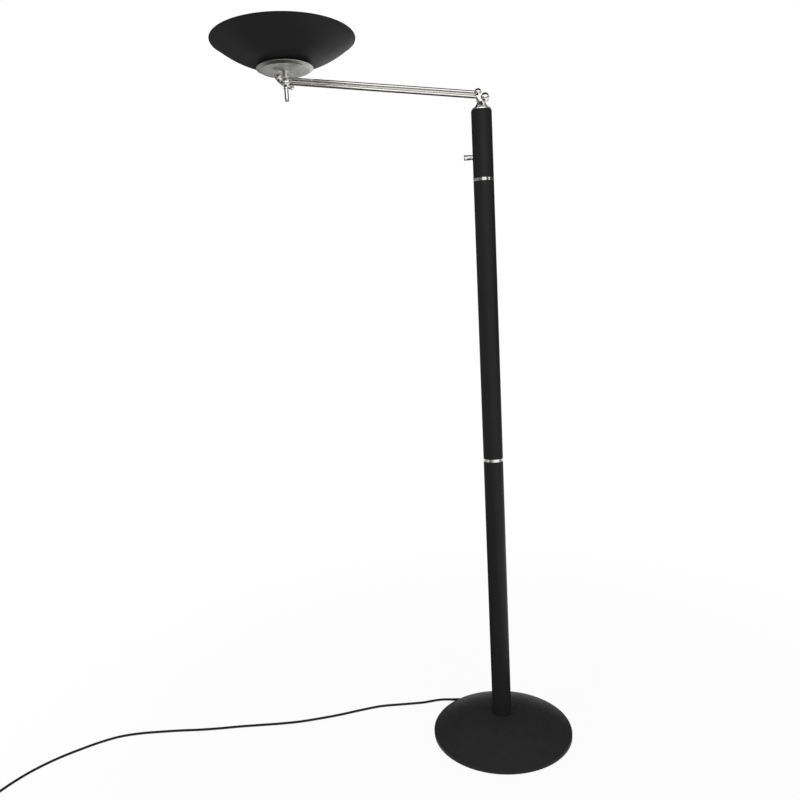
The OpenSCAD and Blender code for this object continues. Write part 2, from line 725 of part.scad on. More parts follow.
module arm_yoke() {
    slot_r = tip_clear;
    flank = atan2(pivot_dz, -pivot_dx) - 90;
    color("gainsboro") difference() {
        union() {
            translate([0, 0, yoke_z]) rotate_extrude() difference() {
                polygon([[0, 0], [bell_r, 0], [bell_r, bell_foot], [bell_shoulder_r, bell_shoulder],
                    [bell_shoulder_r, neck_top - yoke_z], [0, neck_top - yoke_z]]);
                translate([bell_shoulder_r, neck_h]) circle(r = neck_h - bell_shoulder);
                translate([neck_r, neck_h]) square([bell_r, neck_h]);
                translate([neck_r, neck_h - 4]) square([bell_shoulder_r - neck_r, 5]);
            }
            plate_between(cheek_y) {
                link_outline(C, upper_hub_r, D, lower_hub_r);
                polygon([[-neck_r, neck_top - 2], [neck_r, neck_top - 2], [D[0] + 8, D[1] - 6], C,
                    [-neck_r, D[1] + 3]]);
            }
        }
        plate_between(slot_half) {
            translate(C) circle(r = slot_r);
            translate(D) circle(r = slot_r);
            polygon([[-bell_r, neck_top], [D[0], neck_top], [D[0] + slot_r, D[1]], hub_point(D, slot_r, flank),
                hub_point(C, slot_r, flank), [-bell_r, C[1] + slot_r]]);
        }
        for (p = [C, D]) across(p, -cheek_y - 1) cylinder(r = pin_r, h = 2 * cheek_y + 2);
        translate([0, 0, yoke_z - 1]) cylinder(r = spindle_r, h = spindle_in_yoke + 1);
        translate([0, 0, yoke_z]) cylinder(r = spindle_bore_r, h = neck_top);
    }
}
module pivot_pin(p, r) {
    across(p, -cheek_y) cylinder(r = pin_r, h = 2 * cheek_y);
    domed_cap(p, r, -1);
}
module domed_cap(p, r, side) {
    translate([p[0], side * cheek_y, p[1]]) rotate([-90 * side, 0, 0]) difference() {
        dome(r - lip, cap_h);
        translate([0, 0, cap_h - 1.2]) cylinder(r = cap_socket_r, h = 2);
    }
}
module yoke_pins() {
    color("gainsboro") {
        pivot_pin(C, upper_hub_r);
        pivot_pin(D, lower_hub_r);
    }
}
module yoke_caps() {
    color("gainsboro") {
        domed_cap(C, upper_hub_r, 1);
        domed_cap(D, lower_hub_r, 1);
    }
}

// Rods: a hollow tube with a solid end at each pivot
module rod_tube(p) {
    color("gainsboro") towards_head(p) translate([0, 0, rod_end_len])
        tube(rod_r, rod_bore_r, arm_len - 2 * rod_end_len);
}
module rod_end(bore) {
    nose = rod_r * 0.65;
    color("gainsboro") difference() {
        rotate_extrude() polygon([[0, -tip_len], [nose, -tip_len], [rod_r, nose - tip_len], [rod_r, rod_end_len],
            [rod_bore_r - snug, rod_end_len], [rod_bore_r - snug, rod_end_len + rod_spigot],
            [0, rod_end_len + rod_spigot]]);
        rotate([90, 0, 0]) cylinder(r = bore, h = rod_d + 2, center = true);
    }
}
module rod_ends(p, far_bore) {
    towards_head(p) {
        rod_end(pin_r + running);
        translate([0, 0, arm_len]) rotate([0, 180, 0]) rod_end(far_bore);
    }
}
module upper_rod() {
    rod_tube(C);
}
module upper_rod_ends() {
    rod_ends(C, pin_r + running);
}
module arm_cable() {
    from = rod_end_len + rod_spigot + lip;
    color([0.1, 0.1, 0.1]) towards_head(C) translate([0, 0, from])
        cylinder(r = rod_bore_r - seat, h = arm_len - 2 * from);
}
module lower_rod() {
    rod_tube(D);
}
module lower_rod_ends() {
    rod_ends(D, pin_r + open_pivot);
}

// Head
module head_fork() {
    slot_r = tip_clear;
    far = B[0] + lower_hub_r + 3;
    flank = atan2(pivot_dz, -pivot_dx) + 90;
    color("gainsboro") difference() {
        union() {
            plate_between(cheek_y) link_outline(A, upper_hub_r, B, lower_hub_r);
            intersection() {
                translate([head_x, 0, bar_foot]) cylinder(r = bar_round_r, h = lower_hub_r);
                translate([head_x - bar_w / 2, -bar_round_r, bar_foot])
                    cube([bar_w, 2 * bar_round_r, lower_hub_r]);
            }
            translate([head_x, 0, B[1]]) cylinder(r = bar_round_r, h = plate_z - B[1]);
        }
        plate_between(slot_half) {
            translate(A) circle(r = slot_r);
            translate(B) circle(r = slot_r);
            polygon([hub_point(A, slot_r, 90), [A[0] + 3, slot_top], [far, slot_top], [far, B[1] - slot_r],
                hub_point(B, slot_r, -90), hub_point(B, slot_r, flank), hub_point(A, slot_r, flank)]);
        }
        for (p = [A, B]) across(p, -cheek_y - 1) cylinder(r = pin_r, h = 2 * cheek_y + 2);
        translate([head_x, 0, bar_top]) cylinder(r = nipple_r, h = plate_z);
        translate([head_x, 0, slot_top - 1]) cylinder(r = nipple_bore_r, h = plate_z);
    }
}
module head_pins() {
    color("gainsboro") {
        pivot_pin(A, upper_hub_r);
        pivot_pin(B, lower_hub_r);
        across(B, cheek_y) cylinder(r = pin_r, h = lock_neck_len + lock_t / 2);
    }
}
module head_cap() {
    color("gainsboro") domed_cap(A, upper_hub_r, 1);
}
module lock_lever() {
    edge = 1;
    tip = B + hub_point([0, 0], lock_reach, -lock_aim);
    color("gainsboro") difference() {
        union() {
            across(B, lock_y) cylinder(r = lock_neck_r, h = lock_neck_len + 1);
            translate([0, lock_y + lock_neck_len + lock_t / 2, 0]) {
                plate_between(lock_t / 2 - edge) link_outline(B, lock_r, tip, lock_tip_r);
                plate_between(lock_t / 2) link_outline(B, lock_r - edge, tip, lock_tip_r - edge);
            }
        }
        across(B, lock_y - 1) cylinder(r = pin_r + running, h = lock_neck_len + lock_t / 2 + 2);
    }
}
module handle_collar() {
    edge = 0.6;
    color("gainsboro") translate([head_x, 0, bar_foot - collar_t]) rotate_extrude() polygon([[0, 0],
        [collar_r - edge, 0], [collar_r, edge], [collar_r, collar_t - edge], [collar_r - edge, collar_t], [0, collar_t]]);
}
module handle() {
    edge = 1;
    color("gainsboro") translate([head_x, 0, bar_foot - collar_t - handle_len]) rotate_extrude()
        polygon([[0, 0], [handle_r - edge, 0], [handle_r, edge], [handle_r, handle_len], [0, handle_len]]);
}
module head_nipple() {
    color("silver") translate([head_x, 0, bar_top])
        tube(nipple_r, nipple_bore_r, floor_z + bowl_nut_t + 1.5 - bar_top);
}
module head_plate() {
    color([0.66, 0.66, 0.64]) translate([head_x, 0, plate_z]) difference() {
        rotate_extrude($fn = 120) polygon([[0, 0], [plate_d / 2 - plate_bevel, 0],
            [plate_d / 2, plate_t - plate_edge], [plate_d / 2, plate_t], [0, plate_t]]);
        translate([0, 0, -1]) cylinder(r = nipple_r + lip, h = plate_t + 2);
    }
}
module bowl() {
    color([0.09, 0.09, 0.1]) translate([head_x, 0, 0]) difference() {
        rotate_extrude($fn = 180) {
            difference() {
                intersection() {
                    translate([0, bowl_centre_z]) circle(r = bowl_curve_r, $fn = 360);
                    translate([0, bowl_z]) square([bowl_r + 5, bowl_h]);
                }
                intersection() {
                    translate([0, bowl_centre_z]) circle(r = bowl_curve_r - bowl_t, $fn = 360);
                    translate([0, floor_z]) square([bowl_r + 5, bowl_h]);
                }
            }
            translate([bowl_r - bead_r / 2, rim_z]) circle(r = bead_r);
        }
        translate([0, 0, bowl_z - 1]) cylinder(r = nipple_r + lip, h = bowl_t + 2);
    }
}

// Light, inside the bowl
module at_head(z) {
    translate([head_x, 0, z]) children();
}
module both_ends() {
    children();
    mirror([1, 0, 0]) children();
}
module bowl_nut() {
    color("silver") at_head(floor_z) difference() {
        cylinder(r = 2 * nipple_r, h = bowl_nut_t, $fn = 6);
        translate([0, 0, -1]) cylinder(r = nipple_r, h = bowl_nut_t + 2);
    }
}
module bracket_spacers() {
    color("silver") at_head(floor_z) both_ends() translate([spacer_at, 0, 0])
        tube(spacer_r, spacer_r / 2, spacer_h);
}
module lamp_bracket() {
    color("gainsboro") at_head(bracket_z) difference() {
        union() {
            translate([-upright_x - bracket_t, -bracket_w / 2, 0])
                cube([2 * (upright_x + bracket_t), bracket_w, bracket_t]);
            both_ends() translate([upright_x, -bracket_w / 2, 0]) cube([bracket_t, bracket_w, glass_z - bracket_z]);
            translate([-terminal_size[0] / 2, 0, 0])
                cube([terminal_size[0], terminal_y + terminal_size[1] / 2, bracket_t]);
        }
        both_ends() translate([spacer_at, 0, -1]) cylinder(r = spacer_r / 2, h = bracket_t + 2);
    }
}
module bracket_screws() {
    color("silver") at_head(floor_z) both_ends() translate([spacer_at, 0, 0]) {
        cylinder(r = spacer_r / 2, h = spacer_h + bracket_t);
        translate([0, 0, spacer_h + bracket_t]) dome(spacer_r, 2);
    }
}
module trough_reflector() {
    color("whitesmoke") at_head(lamp_z) {
        rotate([90, 0, 90]) translate([0, 0, -trough_len / 2]) linear_extrude(trough_len) difference() {
            circle(r = trough_r);
            circle(r = trough_r - trough_t);
            translate([-trough_r - 1, 0]) square([2 * trough_r + 2, trough_r + 1]);
        }
        both_ends() translate([trough_len / 4, 0, -lamp_rise])
            cylinder(r = spacer_r, h = lamp_rise - trough_r + trough_t / 2);
    }
}
module lamp_holders() {
    color("ivory") at_head(lamp_z) both_ends() translate([lamp_len / 2, -holder_w / 2, -holder_w / 2]) difference() {
        cube([holder_t, holder_w, holder_w]);
        translate([-1, holder_w / 2, holder_w / 2]) rotate([0, 90, 0]) cylinder(r = lamp_cap_r + lip, h = 5);
    }
}
module lamp_glass() {
    color([0.9, 0.92, 0.95, 0.5]) at_head(lamp_z) rotate([0, 90, 0]) translate([0, 0, -lamp_glass_len / 2])
        rotate_extrude() polygon([[0, 0], [lamp_glass_r * 0.5, 0], [lamp_glass_r, lamp_glass_r],
            [lamp_glass_r, lamp_glass_len - lamp_glass_r], [lamp_glass_r * 0.5, lamp_glass_len], [0, lamp_glass_len]]);
}
module lamp_caps() {
    color("ivory") at_head(lamp_z) both_ends() translate([lamp_glass_len / 2, 0, 0]) rotate([0, 90, 0])
        cylinder(r = lamp_cap_r, h = lamp_len / 2 + 4 - seat - lamp_glass_len / 2);
}
module guard_glass() {
    long = 2 * (upright_x + bracket_t + glass_over);
    color([0.8, 0.9, 0.9, 0.4]) at_head(glass_z) translate([-long / 2, -glass_w / 2, 0]) cube([long, glass_w, glass_t]);
}
module glass_clips() {
    clip_t = 1;
    from = upright_x + bracket_t;
    out = glass_over + lip;
    color("silver") at_head(glass_z) both_ends() translate([from, -4, 0]) {
        translate([0, 0, -10]) cube([clip_t, 8, 10 - lip]);
        translate([0, 0, -2 * clip_t - lip]) cube([out + clip_t, 8, clip_t]);
        translate([out, 0, -2 * clip_t - lip]) cube([clip_t, 8, glass_t + 3 * clip_t + 2 * lip]);
        translate([out - 6, 0, glass_t + lip]) cube([6 + clip_t, 8, clip_t]);
    }
}
module terminal_block() {
    color("ivory") at_head(bracket_z - terminal_size[2])
        translate([-terminal_size[0] / 2, terminal_y - terminal_size[1] / 2, 0]) cube(terminal_size);
}
module head_wires() {
    wire_r = 1.2;
    lead_r = 1.4;
    near = terminal_size[0] / 2;
    rise_x = near + 4;
    from_z = bracket_z - terminal_size[2] / 2;
    run_z = bracket_top + 4;
    lead_z = bracket_z - lead_r - lip;
    drop_x = upright_x + bracket_t + wire_r * 1.2 + seat;
    drop_y = 6;
    color([0.75, 0.2, 0.15]) translate([head_x, 0, 0]) both_ends() {
        lead([[near, terminal_y, from_z], [rise_x, terminal_y, from_z], [rise_x, terminal_y, run_z],
            [drop_x, terminal_y, run_z], [drop_x, drop_y, run_z], [drop_x, drop_y, lamp_z],
            [upright_x + bracket_t, drop_y, lamp_z]], wire_r);
    }
    color([0.1, 0.1, 0.1]) translate([head_x, 0, 0]) lead([[0, 0, floor_z + bowl_nut_t + 1.5], [0, 0, lead_z],
        [0, terminal_y - terminal_size[1] / 2, lead_z]], lead_r);
}

// Cord, coil, tie and plug
module mains_cord() {
    color([0.07, 0.07, 0.07]) swept_tube(free_line, cord_r, 10);
}
module cord_coil() {
    color([0.07, 0.07, 0.07]) swept_tube(coil_line, cord_r, 6);
}
module cord_tie() {
    inner = coil_in_r - cord_r - 0.4;
    outer = coil_out_r + cord_r + 0.4;
    top = plug_z + cord_r + 0.4;
    color("gray") translate([coil_centre[0] - tie_w / 2, coil_centre[1] - outer - tie_t, 0]) difference() {
        cube([tie_w, outer - inner + 2 * tie_t, top + tie_t]);
        translate([-1, tie_t, tie_t]) cube([tie_w + 2, outer - inner, top - tie_t]);
    }
}
module plug_body() {
    flat = plug_z;
    nose = 3;
    color([0.07, 0.07, 0.07]) translate([plug_x, plug_y, plug_z]) rotate([-90, 0, 0]) {
        cylinder(r1 = cord_r + 0.8, r2 = cord_r + 3, h = plug_tail);
        intersection() {
            translate([0, 0, plug_tail]) rotate_extrude() polygon([[0, 0], [plug_r * 0.6, 0], [plug_r, plug_len * 0.45],
                [plug_r, plug_len - nose], [plug_r - nose, plug_len], [0, plug_len]]);
            translate([-plug_r, -flat, plug_tail]) cube([2 * plug_r, 2 * flat, plug_len]);
        }
    }
    color([0.07, 0.07, 0.07]) translate([plug_x, plug_y - plug_gap, plug_z]) rotate([-90, 0, 0])
        cylinder(r = cord_r + 0.8, h = plug_gap);
}
module plug_pins() {
    color("silver") translate([plug_x, plug_y + plug_tail + plug_len, plug_z]) rotate([-90, 0, 0])
        both_ends() translate([plug_pin_gap / 2, 0, 0]) {
            cylinder(r = plug_pin_r, h = plug_pin_len - plug_pin_r);
            translate([0, 0, plug_pin_len - plug_pin_r]) dome(plug_pin_r, plug_pin_r * 0.8);
        }
}

floor_felt();
base_weight();
base_cover();
tie_washer();
tie_nut();
tie_stud();
strain_relief();
foot_plug();
lower_tube();
lower_joiner();
lower_ring();
middle_tube();
upper_joiner();
upper_ring();
top_tube();
column_cable();
dimmer_case();
dimmer_nut();
dimmer_shaft();
dimmer_knob();
swivel_bush();
bush_screws();
mains_cord();
cord_coil();
cord_tie();
plug_body();
plug_pins();
arm_yoke();
spindle();
stop_washer();
spindle_nut();
spindle_cable();
yoke_pins();
yoke_caps();
upper_rod();
upper_rod_ends();
arm_cable();
lower_rod();
lower_rod_ends();
head_fork();
head_pins();
head_cap();
lock_lever();
handle_collar();
handle();
head_nipple();
head_plate();
bowl();
bowl_nut();
bracket_spacers();
lamp_bracket();
bracket_screws();
trough_reflector();
lamp_holders();
lamp_glass();
lamp_caps();
guard_glass();
glass_clips();
terminal_block();
head_wires();
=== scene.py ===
import math
import bpy
from mathutils import Matrix, Vector


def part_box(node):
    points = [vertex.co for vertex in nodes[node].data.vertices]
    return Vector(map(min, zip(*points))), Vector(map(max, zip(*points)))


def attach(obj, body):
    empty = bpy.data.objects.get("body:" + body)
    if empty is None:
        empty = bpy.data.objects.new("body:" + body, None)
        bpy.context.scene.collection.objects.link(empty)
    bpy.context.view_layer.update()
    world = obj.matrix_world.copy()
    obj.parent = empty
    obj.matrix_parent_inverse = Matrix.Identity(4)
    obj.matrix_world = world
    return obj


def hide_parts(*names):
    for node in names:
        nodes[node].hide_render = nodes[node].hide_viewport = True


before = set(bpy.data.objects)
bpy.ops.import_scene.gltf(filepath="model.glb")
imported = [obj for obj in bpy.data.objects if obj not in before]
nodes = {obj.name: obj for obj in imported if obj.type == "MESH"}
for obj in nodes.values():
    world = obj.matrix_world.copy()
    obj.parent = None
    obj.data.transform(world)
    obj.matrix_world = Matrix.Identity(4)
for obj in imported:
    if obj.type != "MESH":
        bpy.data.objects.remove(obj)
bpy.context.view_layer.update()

print("frame loaded")

# camera, fitted to the edges of the column, the rims and the rods
cameraSettings = {
    "distance": 1.83686,
    "height": 1.16971,
    "pitch": -0.13561,
    "roll": -0.051534,
    "yaw": -0.126824,
    "focalPixels": 721.93,
    "framePixels": 800,
    "sensor": 36.0,
    "farthest": 60,
}


def addCamera(s):
    yaw, pitch, roll = s["yaw"], s["pitch"], s["roll"]
    forward = Vector((math.sin(yaw) * math.cos(pitch), math.cos(yaw) * math.cos(pitch),
                      math.sin(pitch)))
    level = Vector((math.cos(yaw), -math.sin(yaw), 0))
    upright = level.cross(forward)
    right = math.cos(roll) * level + math.sin(roll) * upright
    up = -math.sin(roll) * level + math.cos(roll) * upright
    data = bpy.data.cameras.new("photoCamera")
    data.sensor_width = s["sensor"]
    data.lens = s["focalPixels"] / s["framePixels"] * s["sensor"]
    data.clip_end = s["farthest"]
    obj = bpy.data.objects.new("photoCamera", data)
    bpy.context.scene.collection.objects.link(obj)
    obj.matrix_world = Matrix((
        (right.x, up.x, -forward.x, 0),
        (right.y, up.y, -forward.y, -s["distance"]),
        (right.z, up.z, -forward.z, s["height"]),
        (0, 0, 0, 1),
    ))
    bpy.context.scene.camera = obj


addCamera(cameraSettings)


# small tools for modelling, and what they share
tools = {
    "smooth": 35,  # edges flatter than this many degrees look smooth
    "sharp": 40,  # edges sharper than this are rounded
    "flat": 0.6,  # faces of a machined piece flatter than this become one
    "mergeMachined": 2e-6,  # points closer than this are one, in metres
    "mergeTurned": 1e-7,
}


def deselectAll():
    if bpy.context.mode != "OBJECT":
        bpy.ops.object.mode_set(mode="OBJECT")
    bpy.ops.object.select_all(action="DESELECT")


def makeActive(obj):
    deselectAll()
    obj.select_set(True)
    bpy.context.view_layer.objects.active = obj


def applyAll(obj):
    makeActive(obj)
    for modifier in list(obj.modifiers):
        bpy.ops.object.modifier_apply(modifier=modifier.name)


def settle(obj, smooth=tools["smooth"]):
    # the object goes to the origin with its place in its mesh
    makeActive(obj)
    bpy.ops.object.transform_apply(location=True, rotation=True, scale=True)
    bpy.ops.object.shade_smooth_by_angle(angle=math.radians(smooth))


def roundEdges(obj, width, segments=2, sharp=tools["sharp"]):
    bevel = obj.modifiers.new("roundedEdges", "BEVEL")
    bevel.width = width
    bevel.segments = segments
    bevel.limit_method = "ANGLE"
    bevel.angle_limit = math.radians(sharp)
    applyAll(obj)


def turnedPiece(name, foot, axis, profile, sides=64, smooth=tools["smooth"]):
    # a lathe: a disc is extruded and scaled through the radii and heights of the profile
    deselectAll()
    radius, height = profile[0]
    bpy.ops.mesh.primitive_circle_add(vertices=sides, radius=radius, location=(0, 0, 0),
                                      fill_type="NGON")
    obj = bpy.context.object
    obj.name = name
    bpy.ops.object.mode_set(mode="EDIT")
    bpy.ops.mesh.select_all(action="SELECT")
    bpy.ops.transform.translate(value=(0, 0, height))
    for nextRadius, nextHeight in profile[1:]:
        rise = (0, 0, nextHeight - height)
        bpy.ops.mesh.extrude_region_move(TRANSFORM_OT_translate={"value": rise})
        share = nextRadius / radius
        bpy.ops.transform.resize(value=(share, share, 1), center_override=(0, 0, nextHeight))
        radius, height = nextRadius, nextHeight
    bpy.ops.mesh.select_all(action="SELECT")
    bpy.ops.mesh.remove_doubles(threshold=tools["mergeTurned"])
    bpy.ops.mesh.normals_make_consistent(inside=False)
    bpy.ops.object.mode_set(mode="OBJECT")
    obj.rotation_mode = "QUATERNION"
    obj.rotation_quaternion = Vector((0, 0, 1)).rotation_difference(Vector(axis))
    obj.location = foot
    settle(obj, smooth)
    return obj


def softenedCopy(node, name, width, segments=2, sharp=tools["sharp"]):
    # a merged copy of the machined piece with its sharp edges broken
    source = nodes[node]
    obj = bpy.data.objects.new(name, source.data.copy())
    bpy.context.scene.collection.objects.link(obj)
    makeActive(obj)
    bpy.ops.object.mode_set(mode="EDIT")
    bpy.ops.mesh.select_all(action="SELECT")
    bpy.ops.mesh.remove_doubles(threshold=tools["mergeMachined"])
    bpy.ops.mesh.dissolve_limited(angle_limit=math.radians(tools["flat"]))
    bpy.ops.object.mode_set(mode="OBJECT")
    obj.data.materials.clear()
    roundEdges(obj, width, segments, sharp)
    settle(obj)
    return obj


def selectFaces(obj, test):
    # in edit mode: only the faces whose centre and normal pass the test
    bpy.ops.mesh.select_mode(type="FACE")
    bpy.ops.mesh.select_all(action="DESELECT")
    bpy.ops.object.mode_set(mode="OBJECT")
    for face in obj.data.polygons:
        face.select = bool(test(face.center, face.normal))
    bpy.ops.object.mode_set(mode="EDIT")


def tubeAlong(name, points, radius, roundness):
    line = bpy.data.curves.new(name, "CURVE")
    line.dimensions = "3D"
    spline = line.splines.new("POLY")
    spline.points.add(len(points) - 1)
    for point, place in zip(spline.points, points):
        point.co = (*place, 1)
    spline.use_smooth = True
    line.bevel_depth = radius
    line.bevel_resolution = roundness
    line.use_fill_caps = True
    line.twist_mode = "MINIMUM"
    obj = bpy.data.objects.new(name, line)
    bpy.context.scene.collection.objects.link(obj)
    return obj


def asMesh(obj, smooth):
    makeActive(obj)
    bpy.ops.object.convert(target="MESH")
    obj = bpy.context.object
    settle(obj, smooth)
    return obj


def joinInto(name, pieces):
    deselectAll()
    for piece in pieces:
        piece.select_set(True)
    bpy.context.view_layer.objects.active = pieces[0]
    bpy.ops.object.join()
    obj = bpy.context.object
    obj.name = name
    return obj


def place(obj, body, slot, *replaced):
    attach(obj, body)
    if replaced:
        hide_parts(*replaced)
    return obj


# cord: the free stretch runs over the floor to a tied coil outside the view, all as one line
cord = {
    "diameter": 0.0066,
    "roundness": 4,
    "smooth": 60,
    "reliefTip": (-0.152, 0.139, 0.0065),
    # x, y and z in millimetres
    "route": [
        (-158.6, 139, 6.5), (-168, 139, 6.2), (-186, 137, 5.2), (-210, 131, 3.8), (-235, 124, 3.3),
        (-295, 113, 3.3), (-350, 102, 3.3), (-405, 80, 3.3), (-460, 55, 3.3), (-515, 34, 3.3),
        (-570, 16, 3.3), (-625, 4, 3.3), (-680, -5, 3.3), (-735, -14, 3.3), (-790, -25, 3.3),
        (-845, -34, 3.3), (-900, -40, 3.3), (-955, -48, 3.3), (-1010, -58, 3.3), (-1062, -75, 3.3),
        (-1106, -103, 3.3), (-1146, -138, 3.3), (-1180, -172, 3.3), (-1206, -205, 3.3),
        (-1228, -240, 3.3), (-1246, -280, 3.3), (-1259, -318, 3.3), (-1269, -352, 3.7),
        (-1272, -373, 4.3), (-1272, -381.8, 4.3),
    ],
    "stepsPerSpan": 8,
    "coilStart": (-1.272, -0.395),
    "coilInner": 0.026,
    "coilPitch": 0.0072,
    "coilTurns": 5.5,
    "climbTurns": 0.5,  # the winding goes up to its second layer within this much of a turn
    "coilSteps": 48,
    "coilHeight": 0.0043,
}


def smoothRoute(points, steps):
    line = []
    last = len(points) - 1
    for i in range(last):
        a, b, c, d = (Vector(points[k]) for k in (max(i - 1, 0), i, i + 1, min(i + 2, last)))
        for k in range(steps):
            t = k / steps
            line.append(0.5 * (2 * b + (c - a) * t + (2 * a - 5 * b + 4 * c - d) * t ** 2
                               + (3 * b - a - 3 * c + d) * t ** 3))
    return line + [Vector(points[last])]


def coilLine(s):
    reach = s["coilInner"] + s["coilPitch"] * s["coilTurns"] / 2
    centreX, centreY = s["coilStart"][0] - reach, s["coilStart"][1]
    line = []
    total = int(s["coilTurns"] * s["coilSteps"])
    for i in range(total + 1):
        t = i / s["coilSteps"]
        radius = s["coilInner"] + s["coilPitch"] * abs(t - s["coilTurns"] / 2)
        climb = (t - s["coilTurns"] / 2 + s["climbTurns"] / 2) / s["climbTurns"]
        climb = max(0.0, min(1.0, climb))
        angle = -2 * math.pi * t
        line.append(Vector((centreX + radius * math.cos(angle), centreY + radius * math.sin(angle),
                            s["coilHeight"] + s["coilPitch"] * climb ** 2 * (3 - 2 * climb))))
    return line, centreX - reach, centreY


metres = [(x / 1000, y / 1000, z / 1000) for x, y, z in cord["route"]]
freeLine = smoothRoute(metres, cord["stepsPerSpan"])
for point in freeLine:
    point.z = max(point.z, cord["diameter"] / 2)
woundLine, plugX, coilY = coilLine(cord)
plugZ = cord["coilHeight"] + cord["coilPitch"]
cordEnd = Vector((plugX, coilY + cord["diameter"], plugZ))
joinPoint = Vector((cord["coilStart"][0], cord["coilStart"][1] + cord["diameter"], cord["coilHeight"]))
cordLine = [Vector(cord["reliefTip"])] + freeLine + [joinPoint] + woundLine + [cordEnd]
mainsLead = tubeAlong("mainsLead", cordLine, cord["diameter"] / 2, cord["roundness"])
mainsLead = asMesh(mainsLead, cord["smooth"])

# strain relief: a ribbed sleeve that thins towards the cord
relief = {
    "foot": (-0.100, 0.139, 0.0065),
    "radius": 0.0042,
    "tipRadius": 0.0035,
    "straight": 0.030,
    "length": 0.052,
    "edge": 0.0004,
    "footShare": 0.96,  # the face at the foot, as a share of the radius
    "tipShare": 0.95,
    "tipGap": 0.001,
    "ribs": 7,
    "groove": 0.00056,
    "ribShape": [(1, 0.12), (1, 0.34), (0, 0.48), (0, 0.94)],  # in the groove or not, and how far along
    "sides": 32,
}


def ribbedSteps(start, span, radii, groove, ribShape):
    # one rib after the other, each a groove and then a raised band
    steps = []
    for i, radius in enumerate(radii):
        steps += [(radius - deep * groove, start + i * span + span * along) for deep, along in ribShape]
    return steps


def makeRelief(s):
    wide, tip = s["radius"], s["tipRadius"]
    radii = [wide + (tip - wide) * (i + 0.5) / s["ribs"] for i in range(s["ribs"])]
    span = (s["length"] - s["straight"] - s["tipGap"]) / s["ribs"]
    steps = [(wide * s["footShare"], 0), (wide, s["edge"]), (wide, s["straight"])]
    steps += ribbedSteps(s["straight"], span, radii, s["groove"], s["ribShape"])
    steps += [(tip, s["length"] - s["edge"]), (tip * s["tipShare"], s["length"])]
    return turnedPiece("reliefSleeve", s["foot"], (-1, 0, 0), steps, s["sides"])


reliefSleeve = makeRelief(relief)

# plug: a flat moulded body with a ribbed tail and sleeved pins
plug = {
    "width": 0.036,
    "thickness": 0.023,
    "length": 0.040,
    "cuts": 3,
    "drawnIn": (0.5, 1, 0.62),  # how far the end towards the cord is narrowed
    "hollowReach": 0.26,  # half of the grip hollow, as a share of the width
    "hollowFrom": 0.009,
    "hollowTo": 0.031,
    "hollowRim": 0.0012,
    "hollowDepth": 0.0009,
    "edge": 0.0022,
    "edgeSegments": 3,
    "sharp": 30,
    "smooth": 40,
    "gap": 0.002,
    "tail": 0.022,
    "tailNarrow": 0.0041,
    "tailWide": 0.0063,
    "tailEdge": 0.0004,
    "tailFootShare": 0.94,
    "tailTopShare": 0.9,
    "tailSunk": 0.001,  # the tail ends inside the body
    "ribs": 5,
    "groove": 0.0009,
    "ribShape": [(1, 0.12), (1, 0.36), (0, 0.5), (0, 0.96)],
    "pinGap": 0.019,
    # radius and height of each step, with a sleeve up to half way
    "pinProfile": [(0.002352, 0), (0.0024, 0.0003), (0.0024, 0.0095), (0.00216, 0.00988),
                   (0.00216, 0.01634), (0.001872, 0.01786), (0.0012, 0.01862), (0.00048, 0.019)],
    "pinSunk": 0.0004,
    "sides": 32,
}
plugY = coilY + cord["diameter"] + plug["gap"]


def makeTail(s):
    narrow, wide, ribs = s["tailNarrow"], s["tailWide"], s["ribs"]
    radii = [narrow + (wide - narrow) * (i + 1) / ribs for i in range(ribs)]
    steps = [(narrow * s["tailFootShare"], 0), (narrow, s["tailEdge"]), (narrow, s["gap"])]
    steps += ribbedSteps(s["gap"], s["tail"] / ribs, radii, s["groove"], s["ribShape"])
    steps.append((wide * s["tailTopShare"], s["gap"] + s["tail"] + s["tailSunk"]))
    return turnedPiece("plugTail", (plugX, plugY - s["gap"], plugZ), (0, 1, 0), steps, s["sides"])


def makePlugBody(s):
    tail = makeTail(s)
    start = plugY + s["tail"]
    deselectAll()
    bpy.ops.mesh.primitive_cube_add(size=1, location=(plugX, start + s["length"] / 2, plugZ),
                                    scale=(s["width"], s["length"], s["thickness"]))
    shell = bpy.context.object
    makeActive(shell)
    bpy.ops.object.transform_apply(location=True, rotation=True, scale=True)
    bpy.ops.object.mode_set(mode="EDIT")
    bpy.ops.mesh.select_all(action="SELECT")
    bpy.ops.mesh.subdivide(number_cuts=s["cuts"])
    selectFaces(shell, lambda c, n: n.y < -0.9)
    bpy.ops.transform.resize(value=s["drawnIn"], center_override=(plugX, start, plugZ))
    # grip hollows on the top and the underside
    for side in (1, -1):
        selectFaces(shell, lambda c, n: n.z * side > 0.8
                    and abs(c.x - plugX) < s["width"] * s["hollowReach"]
                    and start + s["hollowFrom"] < c.y < start + s["hollowTo"])
        bpy.ops.mesh.inset(thickness=s["hollowRim"], depth=-s["hollowDepth"])
    bpy.ops.object.mode_set(mode="OBJECT")
    roundEdges(shell, s["edge"], s["edgeSegments"], s["sharp"])
    soften = shell.modifiers.new("soften", "SUBSURF")
    soften.levels = soften.render_levels = 1
    applyAll(shell)
    shell = joinInto("plugShell", [shell, tail])
    settle(shell, s["smooth"])
    return shell


def makePins(s):
    pieces = []
    for side in (-1, 1):
        foot = (plugX + side * s["pinGap"] / 2, plugY + s["tail"] + s["length"] - s["pinSunk"], plugZ)
        pieces.append(turnedPiece("pin", foot, (0, 1, 0), s["pinProfile"], s["sides"]))
    return joinInto("sleevedPins", pieces)


plugShell = makePlugBody(plug)
sleevedPins = makePins(plug)

# the tie keeps its machined shape, with its edges broken
tie = {"edge": 0.0003}
tieBand = softenedCopy("cord_tie", "tieBand", tie["edge"])

